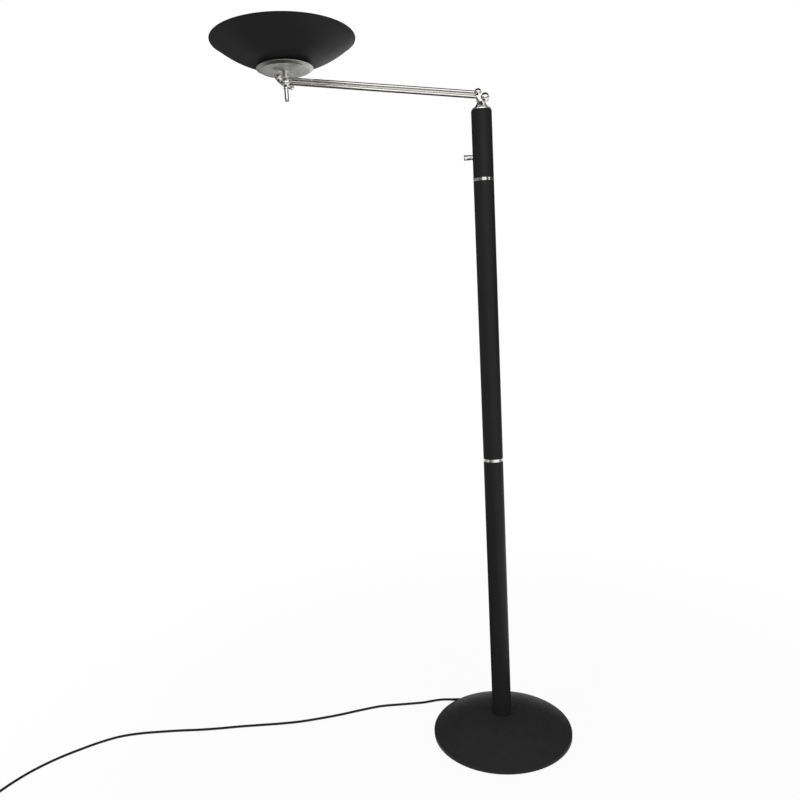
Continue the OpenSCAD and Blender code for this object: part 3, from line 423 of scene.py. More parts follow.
place(mainsLead, "column", "black_rubber", "mains_cord", "cord_coil")
place(reliefSleeve, "column", "black_rubber", "strain_relief")
place(plugShell, "column", "black_plastic", "plug_body")
place(sleevedPins, "column", "pin_metal", "plug_pins")
place(tieBand, "column", "tie_plastic", "cord_tie")
print("plug and relief made")

# dimmer knob: radii, with their distance from the column or back from the far end
knob = {
    "height": 1.508,
    "stem": [(0.0058, 0), (0.00625, 0.0002), (0.0064, 0.0006), (0.0064, 0.0036), (0.0061, 0.0038),
             (0.0061, 0.0042), (0.0064, 0.0044)],
    "rim": [(0.0064, 0.0030), (0.0067, 0.0023), (0.0070, 0.0018), (0.0073, 0.0014), (0.0073, 0.0005),
            (0.0068, 0), (0.0055, 0), (0.0052, 0.0003), (0.0009, 0.0003)],
    "smooth": 30,
}


def makeKnob(s):
    low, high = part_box("dimmer_knob")
    steps = s["stem"] + [(radius, high.x - low.x - back) for radius, back in s["rim"]]
    return turnedPiece("dimmerKnob", (high.x, 0, s["height"]), (-1, 0, 0), steps, smooth=s["smooth"])


# grip and collar under the head: how far each step stands in from the side, and its height from the
# foot or its depth below the top
grip = {
    "foot": [(0.0019, 0), (0.0009, 0.00005), (0.00027, 0.00027), (0, 0.0009), (0, 0.0046),
             (0.0006, 0.0049), (0.0006, 0.0055), (0, 0.0058)],
    "top": [(0, 0.0003), (0.0003, 0)],
    "sides": 48,
    "smooth": 30,
}
collar = {
    "foot": [(0.0011, 0), (0.0006, 0.0001), (0.0001, 0.0006), (0, 0.0011)],
    "top": [(0, 0.0011), (0.0001, 0.0006), (0.0006, 0.0001), (0.0011, 0)],
    "sides": 48,
    "smooth": 50,
}


def makeGrip(node, name, s):
    low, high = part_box(node)
    x, radius, height = (low.x + high.x) / 2, (high.x - low.x) / 2, high.z - low.z
    steps = [(radius - inset, rise) for inset, rise in s["foot"]]
    steps += [(radius - inset, height - drop) for inset, drop in s["top"]]
    return turnedPiece(name, (x, 0, low.z), (0, 0, 1), steps, s["sides"], s["smooth"])


# the yoke's foot is turned with a flared rim; its link plates keep their machined shape
bell = {
    "cut": 0.019,
    "flare": [
        (0.0229, 0), (0.0236, 0.0006), (0.0236, 0.0030), (0.0231, 0.0040), (0.0214, 0.0054),
        (0.0189, 0.0068), (0.0166, 0.0084), (0.0150, 0.0101), (0.0136, 0.0122), (0.0122, 0.0141),
        (0.0110, 0.0159), (0.0099, 0.0176), (0.0090, 0.0192), (0.0087, 0.0205), (0.0086, 0.0213),
    ],
    "sides": 72,
    "smooth": 30,
}
# edges of the machined fittings: width, segments, and how sharp an edge has to be
linkEdge = (0.0004, 2, 32)
leverEdge = (0.0009, 3, 30)
discEdge = (0.0003, 2, 25)


def makeYoke(s):
    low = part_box("arm_yoke")[0]
    plates = softenedCopy("arm_yoke", "linkPlates", *linkEdge)
    makeActive(plates)
    bpy.ops.object.mode_set(mode="EDIT")
    bpy.ops.mesh.select_all(action="SELECT")
    bpy.ops.mesh.bisect(plane_co=(0, 0, low.z + s["cut"]), plane_no=(0, 0, 1), use_fill=True,
                        clear_inner=True)
    bpy.ops.object.mode_set(mode="OBJECT")
    foot = turnedPiece("bellFoot", (0, 0, low.z), (0, 0, 1), s["flare"], s["sides"], s["smooth"])
    return joinInto("yokeBody", [plates, foot])


dimmerKnob = place(makeKnob(knob), "dimmer_control", "nickel", "dimmer_knob")
gripHandle = place(makeGrip("handle", "gripHandle", grip), "head", "nickel", "handle")
gripCollar = place(makeGrip("handle_collar", "gripCollar", collar), "head", "nickel", "handle_collar")
clampLever = softenedCopy("lock_lever", "clampLever", *leverEdge)
place(clampLever, "lock", "polished_nickel", "lock_lever")
yokeBody = place(makeYoke(bell), "swivel", "nickel", "arm_yoke")
forkBody = place(softenedCopy("head_fork", "forkBody", *linkEdge), "head", "nickel", "head_fork")
plateDisc = softenedCopy("head_plate", "plateDisc", *discEdge)
place(plateDisc, "head", "satin_aluminium", "head_plate")
print("metal fittings made")

# lamp, inside the bowl
lamp = {
    "glassLength": 0.084,
    "glassSides": 40,
    # radius and distance from the end, the same at both ends
    "glassEnd": [(0.00238, 0), (0.0034, 0.0005), (0.0034, 0.006), (0.0048, 0.010), (0.00576, 0.0125),
                 (0.006, 0.015)],
    "filamentInset": 0.012,
    "coilShare": 0.92,  # how much of the filament is coiled
    "coilRadius": 0.0011,
    "coilTurns": 46,
    "coilSteps": 10,
    "wireRadius": 0.00018,
    "smooth": 60,
}


def lampPlace():
    low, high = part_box("lamp_glass")
    return Vector(((low.x + high.x) / 2, (low.y + high.y) / 2, (low.z + high.z) / 2))


def makeLampTube(s):
    length, end = s["glassLength"], s["glassEnd"]
    steps = end + [(radius, length - along) for radius, along in reversed(end)]
    foot = lampPlace() - Vector((length / 2, 0, 0))
    return turnedPiece("quartzTube", foot, (1, 0, 0), steps, s["glassSides"], s["smooth"])


def makeFilament(s):
    centre = lampPlace()
    reach = s["glassLength"] / 2 - s["filamentInset"]
    total = s["coilTurns"] * s["coilSteps"]
    points = [(centre.x - reach, centre.y, centre.z)]
    for i in range(total + 1):
        angle = 2 * math.pi * i / s["coilSteps"]
        points.append((centre.x - reach * s["coilShare"] + 2 * s["coilShare"] * reach * (i / total),
                       centre.y + s["coilRadius"] * math.cos(angle),
                       centre.z + s["coilRadius"] * math.sin(angle)))
    points.append((centre.x + reach, centre.y, centre.z))
    return asMesh(tubeAlong("filament", points, s["wireRadius"], 1), s["smooth"])


# edges of the pieces round the lamp
paneEdge, holderEdge, capEdge = 0.0006, 0.0008, 0.0005
quartzTube = place(makeLampTube(lamp), "head", "lamp_quartz", "lamp_glass")
filament = place(makeFilament(lamp), "head", "zinc_steel")
guardPane = place(softenedCopy("guard_glass", "guardPane", paneEdge), "head", "guard_pane",
                  "guard_glass")
holderPair = place(softenedCopy("lamp_holders", "holderPair", holderEdge), "head", "ceramic",
                   "lamp_holders")
capPair = place(softenedCopy("lamp_caps", "capPair", capEdge), "head", "ceramic", "lamp_caps")

# terminals: a ceramic block under the bracket, with a row of screws in wells on its open side
terminals = {
    "ways": 3,
    "margin": 0.0014,
    "wellDepth": 0.0028,
    "edge": 0.0003,
    "screwRadius": 0.0018,
    "screwHeight": 0.0013,
    "screwSides": 20,
    "slotHalf": 0.0003,
    "slotDepth": 0.0005,
}


def makeTerminals(s):
    low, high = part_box("terminal_block")
    centre, size = (low + high) / 2, high - low
    deselectAll()
    bpy.ops.mesh.primitive_cube_add(size=1, location=centre, scale=size)
    block = bpy.context.object
    block.name = "terminalBlock"
    makeActive(block)
    bpy.ops.object.transform_apply(location=True, rotation=True, scale=True)
    bpy.ops.object.mode_set(mode="EDIT")
    # slices between the ways
    for i in range(1, s["ways"]):
        sliceX = low.x + size.x * i / s["ways"]
        bpy.ops.mesh.select_all(action="SELECT")
        bpy.ops.mesh.bisect(plane_co=(sliceX, centre.y, centre.z), plane_no=(1, 0, 0))
    selectFaces(block, lambda c, n: n.y > 0.9)
    bpy.ops.mesh.inset(thickness=s["margin"], depth=0, use_individual=True)
    bpy.ops.mesh.extrude_region_move(TRANSFORM_OT_translate={"value": (0, -s["wellDepth"], 0)})
    bpy.ops.object.mode_set(mode="OBJECT")
    roundEdges(block, s["edge"])
    settle(block)
    r, h, edge = s["screwRadius"], s["screwHeight"], s["edge"]
    screws = []
    for i in range(s["ways"]):
        foot = (low.x + size.x * (i + 0.5) / s["ways"], high.y - s["wellDepth"], centre.z)
        screw = turnedPiece("screw", foot, (0, 1, 0), [(r, 0), (r, h - edge), (r - edge, h)],
                            s["screwSides"])
        bpy.ops.object.mode_set(mode="EDIT")
        for offset in (-s["slotHalf"], s["slotHalf"]):
            bpy.ops.mesh.select_all(action="SELECT")
            bpy.ops.mesh.bisect(plane_co=(foot[0], foot[1], foot[2] + offset), plane_no=(0, 0, 1))
        selectFaces(screw, lambda c, n: n.y > 0.9 and abs(c.z - foot[2]) < s["slotHalf"])
        bpy.ops.mesh.extrude_region_move(TRANSFORM_OT_translate={"value": (0, -s["slotDepth"], 0)})
        bpy.ops.object.mode_set(mode="OBJECT")
        screws.append(screw)
    return block, joinInto("terminalScrews", screws)


terminalBlock, terminalScrews = makeTerminals(terminals)
place(terminalBlock, "head", "ceramic", "terminal_block")
place(terminalScrews, "head", "zinc_steel")
print("lamp made")


# shader groups that several finishes use, and the numbers inside them
effects = {
    "noiseFrom": 0.3,  # noise seldom goes below this
    "noiseTo": 0.7,  # nor above this
    "cloudScale": 14.0,
    "cloudShare": 0.75,  # how much of the gloss wanders broadly, the rest finely
    "patchRange": (0.48, 0.72),
    "speckScale": 22.0,  # times the scale of the patches
    "speckRange": (0.70, 0.80),
    "speckStrength": 0.8,
    "dustFacing": (0.2, 1.0),
    "dustScale": 45.0,
    "dustRange": (0.35, 0.75),
    "dustThinnest": 0.2,
    "dustColour": (0.16, 0.155, 0.145),
}


def newGroup(name, inputs, outputs):
    group = bpy.data.node_groups.new(name, "ShaderNodeTree")
    for socketName, kind, value in inputs:
        socket = group.interface.new_socket(name=socketName, in_out="INPUT", socket_type=kind)
        if value is not None:
            socket.default_value = value
    for socketName, kind in outputs:
        group.interface.new_socket(name=socketName, in_out="OUTPUT", socket_type=kind)
    return group, group.nodes.new("NodeGroupInput"), group.nodes.new("NodeGroupOutput")


def addNoise(tree, vector, scale, detail=3.0, roughness=0.55):
    noise = tree.nodes.new("ShaderNodeTexNoise")
    noise.inputs["Detail"].default_value = detail
    noise.inputs["Roughness"].default_value = roughness
    tree.links.new(vector, noise.inputs["Vector"])
    if isinstance(scale, (int, float)):
        noise.inputs["Scale"].default_value = scale
    else:
        tree.links.new(scale, noise.inputs["Scale"])
    return noise.outputs["Fac"]


def addRange(tree, value, fromLow, fromHigh, toLow, toHigh):
    node = tree.nodes.new("ShaderNodeMapRange")
    for name, item in (("Value", value), ("From Min", fromLow), ("From Max", fromHigh),
                       ("To Min", toLow), ("To Max", toHigh)):
        if isinstance(item, (int, float)):
            node.inputs[name].default_value = item
        else:
            tree.links.new(item, node.inputs[name])
    return node.outputs["Result"]


def addMath(tree, operation, a, b):
    node = tree.nodes.new("ShaderNodeMath")
    node.operation = operation
    for socket, item in ((node.inputs[0], a), (node.inputs[1], b)):
        if isinstance(item, (int, float)):
            socket.default_value = item
        else:
            tree.links.new(item, socket)
    return node.outputs[0]


def addMix(tree, factor, a, b):
    node = tree.nodes.new("ShaderNodeMix")
    node.data_type = "RGBA"
    for socket, item in ((node.inputs["Factor"], factor), (node.inputs["A"], a), (node.inputs["B"], b)):
        if isinstance(item, (int, float)):
            socket.default_value = item
        elif isinstance(item, tuple):
            socket.default_value = (*item, 1)[:4]
        else:
            tree.links.new(item, socket)
    return node.outputs["Result"]


def buildGrain(s):
    # fine even grain: a height and a roughness that wanders a little over the surface
    group, gin, gout = newGroup("surfaceGrain", [
        ("Vector", "NodeSocketVector", None), ("Grain Size", "NodeSocketFloat", 0.0008),
        ("Smoothest", "NodeSocketFloat", 0.3), ("Roughest", "NodeSocketFloat", 0.5)],
        [("Height", "NodeSocketFloat"), ("Roughness", "NodeSocketFloat")])
    scale = addMath(group, "DIVIDE", 1.0, gin.outputs["Grain Size"])
    fine = addNoise(group, gin.outputs["Vector"], scale, 2.0)
    broad = addNoise(group, gin.outputs["Vector"], s["cloudScale"], 4.0)
    blend = addMath(group, "ADD", addMath(group, "MULTIPLY", broad, s["cloudShare"]),
                    addMath(group, "MULTIPLY", fine, 1 - s["cloudShare"]))
    rough = addRange(group, blend, s["noiseFrom"], s["noiseTo"], gin.outputs["Smoothest"],
                     gin.outputs["Roughest"])
    group.links.new(fine, gout.inputs["Height"])
    group.links.new(rough, gout.inputs["Roughness"])
    return group


def buildBrushing(s):
    # fine lines left by brushing: the vector comes in stretched along the stroke
    group, gin, gout = newGroup("brushedLines", [
        ("Vector", "NodeSocketVector", None), ("Smoothest", "NodeSocketFloat", 0.2),
        ("Roughest", "NodeSocketFloat", 0.35)],
        [("Height", "NodeSocketFloat"), ("Roughness", "NodeSocketFloat")])
    fine = addNoise(group, gin.outputs["Vector"], 1.0, 4.0, 0.7)
    rough = addRange(group, fine, s["noiseFrom"], s["noiseTo"], gin.outputs["Smoothest"],
                     gin.outputs["Roughest"])
    group.links.new(fine, gout.inputs["Height"])
    group.links.new(rough, gout.inputs["Roughness"])
    return group


def buildMarks(s):
    # cloudy handling marks: a mask with soft patches and sparse specks
    group, gin, gout = newGroup("handlingMarks", [
        ("Vector", "NodeSocketVector", None), ("Patch Scale", "NodeSocketFloat", 30.0),
        ("Amount", "NodeSocketFloat", 0.4)], [("Mask", "NodeSocketFloat")])
    speckScale = addMath(group, "MULTIPLY", gin.outputs["Patch Scale"], s["speckScale"])
    broad = addNoise(group, gin.outputs["Vector"], gin.outputs["Patch Scale"], 5.0, 0.6)
    specks = addNoise(group, gin.outputs["Vector"], speckScale, 2.0)
    patches = addRange(group, broad, *s["patchRange"], 0.0, 1.0)
    dots = addRange(group, specks, *s["speckRange"], 0.0, s["speckStrength"])
    both = addMath(group, "MAXIMUM", patches, dots)
    group.links.new(addMath(group, "MULTIPLY", both, gin.outputs["Amount"]), gout.inputs["Mask"])
    return group


def buildDust(s):
    # thin dust that settles on what faces up
    group, gin, gout = newGroup("settledDust", [
        ("Vector", "NodeSocketVector", None), ("Amount", "NodeSocketFloat", 0.15)],
        [("Mask", "NodeSocketFloat")])
    facing = group.nodes.new("ShaderNodeNewGeometry")
    split = group.nodes.new("ShaderNodeSeparateXYZ")
    group.links.new(facing.outputs["Normal"], split.inputs[0])
    upward = addRange(group, split.outputs["Z"], *s["dustFacing"], 0.0, 1.0)
    noise = addNoise(group, gin.outputs["Vector"], s["dustScale"], 6.0, 0.7)
    cloud = addRange(group, noise, *s["dustRange"], s["dustThinnest"], 1.0)
    settled = addMath(group, "MULTIPLY", upward, cloud)
    group.links.new(addMath(group, "MULTIPLY", settled, gin.outputs["Amount"]), gout.inputs["Mask"])
    return group


grainGroup = buildGrain(effects)
brushGroup = buildBrushing(effects)
marksGroup = buildMarks(effects)
dustGroup = buildDust(effects)


def useGroup(tree, group, vector, **values):
    node = tree.nodes.new("ShaderNodeGroup")
    node.node_tree = group
    tree.links.new(vector, node.inputs["Vector"])
    for name, value in values.items():
        node.inputs[name.replace("_", " ")].default_value = value
    return node


def newMaterial(name, **values):
    material = bpy.data.materials.new(name)
    material.use_nodes = True
    tree = material.node_tree
    shader = tree.nodes["Principled BSDF"]
    for key, value in values.items():
        shader.inputs[key.replace("_", " ")].default_value = value
    coordinates = tree.nodes.new("ShaderNodeTexCoord").outputs["Object"]
    return material, tree, shader, coordinates


def addBump(tree, shader, height, depth, strength):
    bump = tree.nodes.new("ShaderNodeBump")
    bump.inputs["Strength"].default_value = strength
    bump.inputs["Distance"].default_value = depth
    tree.links.new(height, bump.inputs["Height"])
    tree.links.new(bump.outputs["Normal"], shader.inputs["Normal"])


def stretched(tree, coordinates, scale, turn):
    mapping = tree.nodes.new("ShaderNodeMapping")
    mapping.vector_type = "TEXTURE"
    mapping.inputs["Rotation"].default_value = turn
    mapping.inputs["Scale"].default_value = scale
    tree.links.new(coordinates, mapping.inputs["Vector"])
    return mapping.outputs["Vector"]


def addSkin(tree, shader, coordinates, s):
    # what paint and mouldings share: a grained skin and paler patches; puts out the colour
    shader.inputs["Specular IOR Level"].default_value = s["specular"]
    skin = useGroup(tree, grainGroup, coordinates, Grain_Size=s["grain"], Smoothest=s["gloss"][0],
                    Roughest=s["gloss"][1])
    handling = useGroup(tree, marksGroup, coordinates, Patch_Scale=s["patch"], Amount=s["marks"])
    tree.links.new(skin.outputs["Roughness"], shader.inputs["Roughness"])
    addBump(tree, shader, skin.outputs["Height"], s["depth"], s["bump"])
    return addMix(tree, handling.outputs["Mask"], s["colour"], s["worn"])


def mouldedFinish(name, s):
    material, tree, shader, coordinates = newMaterial(name, Metallic=0.0)
    colour = addSkin(tree, shader, coordinates, s)
    tree.links.new(colour, shader.inputs["Base Color"])
    return material


def paintFinish(name, s):
    # satin powder coat: a fine pebbled skin, with dust on what faces up
    material, tree, shader, coordinates = newMaterial(name, Metallic=0.0)
    colour = addSkin(tree, shader, coordinates, s)
    film = useGroup(tree, dustGroup, coordinates, Amount=s["dust"])
    dusty = addMix(tree, film.outputs["Mask"], colour, effects["dustColour"])
    tree.links.new(dusty, shader.inputs["Base Color"])
    return material


def metalFinish(name, s):
    material, tree, shader, coordinates = newMaterial(name, Metallic=1.0)
    stroke = stretched(tree, coordinates, s["stroke"], s["turn"])
    lines = useGroup(tree, brushGroup, stroke, Smoothest=s["gloss"][0], Roughest=s["gloss"][1])
    handling = useGroup(tree, marksGroup, coordinates, Patch_Scale=s["patch"], Amount=s["marks"])
    colour = addMix(tree, handling.outputs["Mask"], s["colour"], s["worn"])
    tree.links.new(colour, shader.inputs["Base Color"])
    tree.links.new(lines.outputs["Roughness"], shader.inputs["Roughness"])
    addBump(tree, shader, lines.outputs["Height"], s["depth"], s["bump"])
    return material


def glassFinish(name, s):
    material, tree, shader, coordinates = newMaterial(name, Metallic=0.0, IOR=s["ior"])
    shader.inputs["Transmission Weight"].default_value = 1.0
    handling = useGroup(tree, marksGroup, coordinates, Patch_Scale=s["patch"], Amount=s["marks"])
    colour = addMix(tree, handling.outputs["Mask"], s["colour"], s["worn"])
    tree.links.new(colour, shader.inputs["Base Color"])
    smear = addRange(tree, handling.outputs["Mask"], 0.0, 1.0, *s["gloss"])
    tree.links.new(smear, shader.inputs["Roughness"])
    return material


def feltFinish(name, s):
    material, tree, shader, coordinates = newMaterial(name, Metallic=0.0, Roughness=s["roughness"])
    shader.inputs["Sheen Weight"].default_value = s["sheen"]
    fibres = addNoise(tree, coordinates, s["fibreScale"], s["fibreDetail"], s["fibreMix"])
    tree.links.new(addMix(tree, fibres, s["darkest"], s["palest"]), shader.inputs["Base Color"])
    addBump(tree, shader, fibres, s["depth"], s["bump"])
    return material


# in each finish, gloss is the lowest and the highest roughness; grain and depth are in metres
paintBase = {"depth": 0.00005, "bump": 0.5, "patch": 18.0, "marks": 0.2}
paints = {
    "satinBlackTube": {"colour": (0.0155, 0.0155, 0.0165), "worn": (0.022, 0.022, 0.023),
                       "gloss": (0.36, 0.5), "grain": 0.0011, "dust": 0.03, "specular": 0.16},
    # the foot's black is the tube's paint made lighter: painted light, standing in for the light its
    # top lacks
    "satinBlackFootPaintedLight": {"colour": (0.021, 0.021, 0.022), "worn": (0.025, 0.025, 0.026),
                       "gloss": (0.4, 0.52), "grain": 0.0011, "dust": 0.05, "specular": 0.1},
    "satinBlackBowl": {"colour": (0.018, 0.018, 0.0188), "worn": (0.024, 0.024, 0.025),
                       "gloss": (0.42, 0.55), "grain": 0.0010, "dust": 0.04, "specular": 0.14},
}

# metal: stroke is the size of the lines along x, y and z, and turn lays them along the rods
metalBase = {"turn": (0, 0, 0), "depth": 0.00002, "bump": 0.6, "patch": 40.0, "marks": 0.3}
metals = {
    "rodNickel": {"colour": (0.93, 0.91, 0.88), "worn": (0.82, 0.8, 0.77), "gloss": (0.05, 0.1),
                  "stroke": (0.2, 0.0008, 0.0008), "turn": (0, math.radians(8.7), 0),
                  "depth": 0.000001, "marks": 0.15},
    "turnedNickel": {"colour": (0.9, 0.88, 0.85), "worn": (0.78, 0.76, 0.73), "gloss": (0.1, 0.18),
                     "stroke": (0.012, 0.012, 0.0003), "depth": 0.00001},
    "sideTurnedNickel": {"colour": (0.92, 0.9, 0.88), "worn": (0.8, 0.78, 0.76), "gloss": (0.12, 0.2),
                         "stroke": (0.0003, 0.012, 0.012), "depth": 0.00001},
    "brightNickel": {"colour": (0.88, 0.86, 0.83), "worn": (0.76, 0.74, 0.71), "gloss": (0.06, 0.16),
                     "stroke": (0.004, 0.004, 0.004), "depth": 0.000008},
    "satinPlate": {"colour": (0.88, 0.89, 0.86), "worn": (0.8, 0.81, 0.78), "gloss": (0.38, 0.52),
                   "stroke": (0.02, 0.0005, 0.02), "depth": 0.00003},
    # painted shade: the plate's metal made darker for its bevel
    "paintedShadeBevel": {"colour": (0.66, 0.67, 0.64), "worn": (0.58, 0.59, 0.56), "gloss": (0.36, 0.5),
                    "stroke": (0.004, 0.004, 0.0004)},
    "sheetZinc": {"colour": (0.56, 0.56, 0.57), "worn": (0.42, 0.42, 0.43), "gloss": (0.28, 0.46),
                  "stroke": (0.006, 0.006, 0.006)},
    "mirrorSheet": {"colour": (0.86, 0.86, 0.86), "worn": (0.74, 0.74, 0.74), "gloss": (0.1, 0.22),
                    "stroke": (0.03, 0.0006, 0.0006)},
    "pinPlating": {"colour": (0.66, 0.64, 0.58), "worn": (0.52, 0.5, 0.44), "gloss": (0.15, 0.3),
                   "stroke": (0.0006, 0.01, 0.0006)},
}

# rubber, plastic, ceramic and cast iron
mouldingBase = {"bump": 0.5, "patch": 60.0, "marks": 0.3, "specular": 0.5}
mouldings = {
    "blackFlex": {"colour": (0.013, 0.013, 0.013), "worn": (0.024, 0.024, 0.024),
                  "gloss": (0.42, 0.58), "grain": 0.0009, "depth": 0.00004, "specular": 0.3},
    "blackMoulding": {"colour": (0.014, 0.014, 0.014), "worn": (0.025, 0.025, 0.025),
                      "gloss": (0.4, 0.6), "grain": 0.0005, "depth": 0.00005},
    "greyTie": {"colour": (0.035, 0.035, 0.036), "worn": (0.06, 0.06, 0.06),
                "gloss": (0.5, 0.7), "grain": 0.0008, "depth": 0.0001},
    "glazedCeramic": {"colour": (0.72, 0.69, 0.62), "worn": (0.62, 0.58, 0.5),
                      "gloss": (0.12, 0.3), "grain": 0.002, "depth": 0.00005},
    "castIron": {"colour": (0.06, 0.058, 0.056), "worn": (0.11, 0.09, 0.075),
                 "gloss": (0.6, 0.85), "grain": 0.0012, "depth": 0.0003, "marks": 0.5, "patch": 30.0},
    "redSleeve": {"colour": (0.42, 0.05, 0.035), "worn": (0.3, 0.04, 0.03),
                  "gloss": (0.45, 0.6), "grain": 0.0006, "depth": 0.00003},
}

glassBase = {"worn": (0.86, 0.87, 0.86), "gloss": (0.02, 0.27), "patch": 25.0, "ior": 1.47}
glasses = {
    "clearQuartz": {"colour": (0.97, 0.98, 0.99), "marks": 0.12},
    "guardGlass": {"colour": (0.95, 0.975, 0.965), "marks": 0.1},
}
felt = {
    "fibreScale": 1400.0,
    "fibreDetail": 6.0,
    "fibreMix": 0.75,
    "darkest": (0.012, 0.012, 0.013),
    "palest": (0.05, 0.05, 0.052),
    "depth": 0.0006,
    "bump": 0.8,
    "roughness": 0.95,
    "sheen": 0.3,
}

finishes = {name: paintFinish(name, {**paintBase, **s}) for name, s in paints.items()}
finishes.update({name: metalFinish(name, {**metalBase, **s}) for name, s in metals.items()})
finishes.update({name: mouldedFinish(name, {**mouldingBase, **s}) for name, s in mouldings.items()})
finishes.update({name: glassFinish(name, {**glassBase, **s}) for name, s in glasses.items()})
finishes["feltFibre"] = feltFinish("feltFibre", felt)


def finish(obj, key):
    obj.data.materials.clear()
    obj.data.materials.append(finishes[key])


nodeFinish = {
    "satinBlackTube": ["lower_tube", "middle_tube", "top_tube"],
    "satinBlackFootPaintedLight": ["base_cover"],
    "satinBlackBowl": ["bowl"],
    "rodNickel": ["upper_rod", "upper_rod_ends", "lower_rod", "lower_rod_ends"],
    "turnedNickel": ["lower_ring", "upper_ring", "arm_yoke", "head_fork", "handle_collar", "handle"],
    "sideTurnedNickel": ["dimmer_nut", "dimmer_knob"],
    "brightNickel": ["yoke_pins", "yoke_caps", "head_pins", "head_cap", "lock_lever"],
    "satinPlate": ["head_plate"],
    "sheetZinc": ["tie_washer", "tie_nut", "tie_stud", "foot_plug", "lower_joiner", "upper_joiner",
                  "dimmer_shaft", "bush_screws", "spindle", "stop_washer", "spindle_nut", "head_nipple",
                  "bowl_nut", "bracket_spacers", "lamp_bracket", "bracket_screws", "glass_clips"],
    "mirrorSheet": ["trough_reflector"],
    "pinPlating": ["plug_pins"],
    "blackFlex": ["column_cable", "spindle_cable", "arm_cable", "mains_cord", "cord_coil",
                  "strain_relief"],
    "blackMoulding": ["dimmer_case", "swivel_bush", "plug_body"],
    "greyTie": ["cord_tie"],
    "glazedCeramic": ["lamp_holders", "lamp_caps", "terminal_block"],
    "castIron": ["base_weight"],
    "redSleeve": ["head_wires"],
    "clearQuartz": ["lamp_glass"],
    "guardGlass": ["guard_glass"],
    "feltFibre": ["floor_felt"],
}
for key, names in nodeFinish.items():
    for name in names:
        finish(nodes[name], key)

pieceFinish = {
    "blackFlex": [mainsLead, reliefSleeve],
    "blackMoulding": [plugShell],
    "pinPlating": [sleevedPins],
    "greyTie": [tieBand],
    "sideTurnedNickel": [dimmerKnob],
    "turnedNickel": [gripHandle, gripCollar, yokeBody, forkBody],
    "brightNickel": [clampLever],
    "clearQuartz": [quartzTube],
    "satinPlate": [plateDisc],
    "sheetZinc": [filament, terminalScrews],
    "guardGlass": [guardPane],
    "glazedCeramic": [holderPair, capPair, terminalBlock],
}
for key, pieces in pieceFinish.items():
    for piece in pieces:
        finish(piece, key)

# the bevel round the plate is turned; its faces get a darker copy of the plate's metal, painted shade
# for the dark it reflects; its normals point down and out
shadedBevelNormals = (-0.97, -0.3)
plateDisc.data.materials.append(finishes["paintedShadeBevel"])
for face in plateDisc.data.polygons:
    face.material_index = 1 if shadedBevelNormals[0] < face.normal.z < shadedBevelNormals[1] else 0
print("finishes set")

# floor, light and background
studio = {
    "floorSize": 14.0,
    "floorDrop": 0.0005,
    "floorColour": (0.86, 0.86, 0.86),
    "floorRoughness": 0.8,
    "floorSpecular": 0.1,
    "floorLift": 0.92,  # how white the floor is close to the object
    "floorFade": (0.5, 1.6),  # where it starts to turn white, and where it is all white
    "worldLight": 0.55,
    "worldSeen": 1.0,
    "lights": [
        # name, place, aim, width, height, watts
        ("wideSoftbox", (1.5, -3.2, 2.0), (0, 0, 1.1), 3.6, 2.2, 38),
        ("leftFill", (-2.6, -2.2, 1.6), (0, 0, 1.0), 1.4, 1.8, 14),
        ("topFill", (-0.2, 0.4, 3.6), (-0.2, 0, 0.8), 2.4, 2.4, 20),
    ],
    "cards": [
        # cards that only reflections see, one bright and the others darker: name, place, turn in
        # degrees, size, tone
        ("brightPanel", (0.9, -3.4, 3.1), (90, 0, 0), (3.8, 1.4), 1.6),
        ("frontCard", (1.0, -5.5, 0.9), (90, 0, 0), (4.4, 2.2), 0.4),
        ("frontRightCard", (5.4, -5.5, 1.6), (90, 0, 0), (4.4, 3.4), 0.07),
        ("frontLeftCard", (-2.7, -4.2, 1.6), (90, 0, 0), (3.0, 3.2), 0.12),
        ("leftLowCard", (-3.0, 0.0, 1.0), (90, 0, 90), (6.2, 2.1), 0.24),
        ("leftHighCard", (-3.0, 0.0, 2.6), (90, 0, 90), (6.2, 1.1), 0.05),
        ("rightLowCard", (3.0, 1.0, 1.0), (90, 0, 90), (4.0, 2.1), 0.06),
        ("rightHighCard", (3.0, 0.4, 2.6), (90, 0, 90), (5.2, 1.1), 0.04),
        ("backLeftCard", (-2.1, 3.0, 1.5), (90, 0, 0), (2.6, 3.0), 0.12),
        ("backRightCard", (2.1, 3.0, 1.5), (90, 0, 0), (2.6, 3.0), 0.1),
        ("ceilingCard", (-0.2, 0.75, 3.2), (0, 0, 0), (5.0, 4.5), 0.04),
        ("lowCard", (-1.05, -0.6, 0.06), (0, 0, 0), (2.7, 5.0), 0.03),
    ],
}


def seenDirectly(tree):
    rays = tree.nodes.new("ShaderNodeLightPath")
    bounced = addMath(tree, "MAXIMUM", rays.outputs["Is Glossy Ray"],
                      rays.outputs["Is Transmission Ray"])
    return addMath(tree, "MAXIMUM", rays.outputs["Is Camera Ray"], bounced)


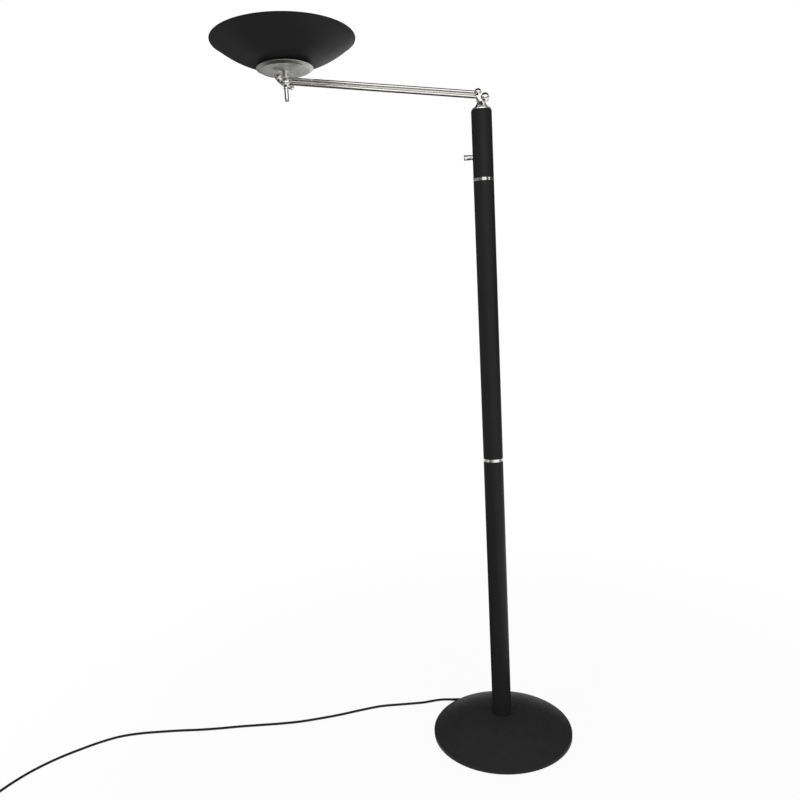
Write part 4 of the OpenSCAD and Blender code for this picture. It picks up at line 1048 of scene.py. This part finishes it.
def addFloor(s):
    deselectAll()
    bpy.ops.mesh.primitive_plane_add(size=s["floorSize"], location=(0, 0, -s["floorDrop"]))
    floor = bpy.context.object
    floor.name = "studioFloor"
    bpy.ops.object.transform_apply(location=True, rotation=True, scale=True)
    material = bpy.data.materials.new("studioFloor")
    material.use_nodes = True
    tree = material.node_tree
    shader = tree.nodes["Principled BSDF"]
    shader.inputs["Base Color"].default_value = (*s["floorColour"], 1)
    shader.inputs["Roughness"].default_value = s["floorRoughness"]
    shader.inputs["Specular IOR Level"].default_value = s["floorSpecular"]
    glow = tree.nodes.new("ShaderNodeEmission")
    # away from the object the floor turns into plain white
    reach = tree.nodes.new("ShaderNodeVectorMath")
    reach.operation = "LENGTH"
    tree.links.new(tree.nodes.new("ShaderNodeTexCoord").outputs["Object"], reach.inputs[0])
    lift = addRange(tree, reach.outputs["Value"], *s["floorFade"], s["floorLift"], 1.0)
    mix = tree.nodes.new("ShaderNodeMixShader")
    tree.links.new(addMath(tree, "MULTIPLY", seenDirectly(tree), lift), mix.inputs["Fac"])
    tree.links.new(shader.outputs[0], mix.inputs[1])
    tree.links.new(glow.outputs[0], mix.inputs[2])
    tree.links.new(mix.outputs[0], tree.nodes["Material Output"].inputs["Surface"])
    floor.data.materials.append(material)


def addCards(s):
    for name, location, turn, size, tone in s["cards"]:
        material = bpy.data.materials.new(name)
        material.use_nodes = True
        shader = material.node_tree.nodes["Principled BSDF"]
        shader.inputs["Base Color"].default_value = (0, 0, 0, 1)
        shader.inputs["Specular IOR Level"].default_value = 0.0
        shader.inputs["Emission Color"].default_value = (tone, tone, tone, 1)
        shader.inputs["Emission Strength"].default_value = 1.0
        deselectAll()
        bpy.ops.mesh.primitive_plane_add(size=1, location=location,
                                         rotation=[math.radians(v) for v in turn])
        card = bpy.context.object
        card.scale = (*size, 1)
        card.name = name
        bpy.ops.object.transform_apply(location=True, rotation=True, scale=True)
        card.data.materials.append(material)
        card.visible_camera = card.visible_shadow = False
        card.visible_diffuse = card.visible_transmission = False


def addLights(s):
    for name, location, aim, width, height, watts in s["lights"]:
        data = bpy.data.lights.new(name, "AREA")
        data.shape = "RECTANGLE"
        data.size = width
        data.size_y = height
        data.energy = watts
        obj = bpy.data.objects.new(name, data)
        bpy.context.scene.collection.objects.link(obj)
        obj.location = location
        obj.rotation_mode = "QUATERNION"
        obj.rotation_quaternion = (Vector(aim) - Vector(location)).to_track_quat("-Z", "Y")
        obj.visible_glossy = False


def addWorld(s):
    world = bpy.data.worlds.new("studio")
    bpy.context.scene.world = world
    world.use_nodes = True
    tree = world.node_tree
    tree.nodes.clear()
    light = tree.nodes.new("ShaderNodeBackground")
    light.inputs["Strength"].default_value = s["worldLight"]
    seen = tree.nodes.new("ShaderNodeBackground")
    seen.inputs["Strength"].default_value = s["worldSeen"]
    for node in (light, seen):
        node.inputs["Color"].default_value = (1, 1, 1, 1)
    mix = tree.nodes.new("ShaderNodeMixShader")
    tree.links.new(seenDirectly(tree), mix.inputs["Fac"])
    tree.links.new(light.outputs[0], mix.inputs[1])
    tree.links.new(seen.outputs[0], mix.inputs[2])
    out = tree.nodes.new("ShaderNodeOutputWorld")
    tree.links.new(mix.outputs[0], out.inputs["Surface"])


addFloor(studio)
addCards(studio)
addLights(studio)
addWorld(studio)
bpy.context.scene.view_settings.view_transform = "Standard"
print("studio lit")

deselectAll()
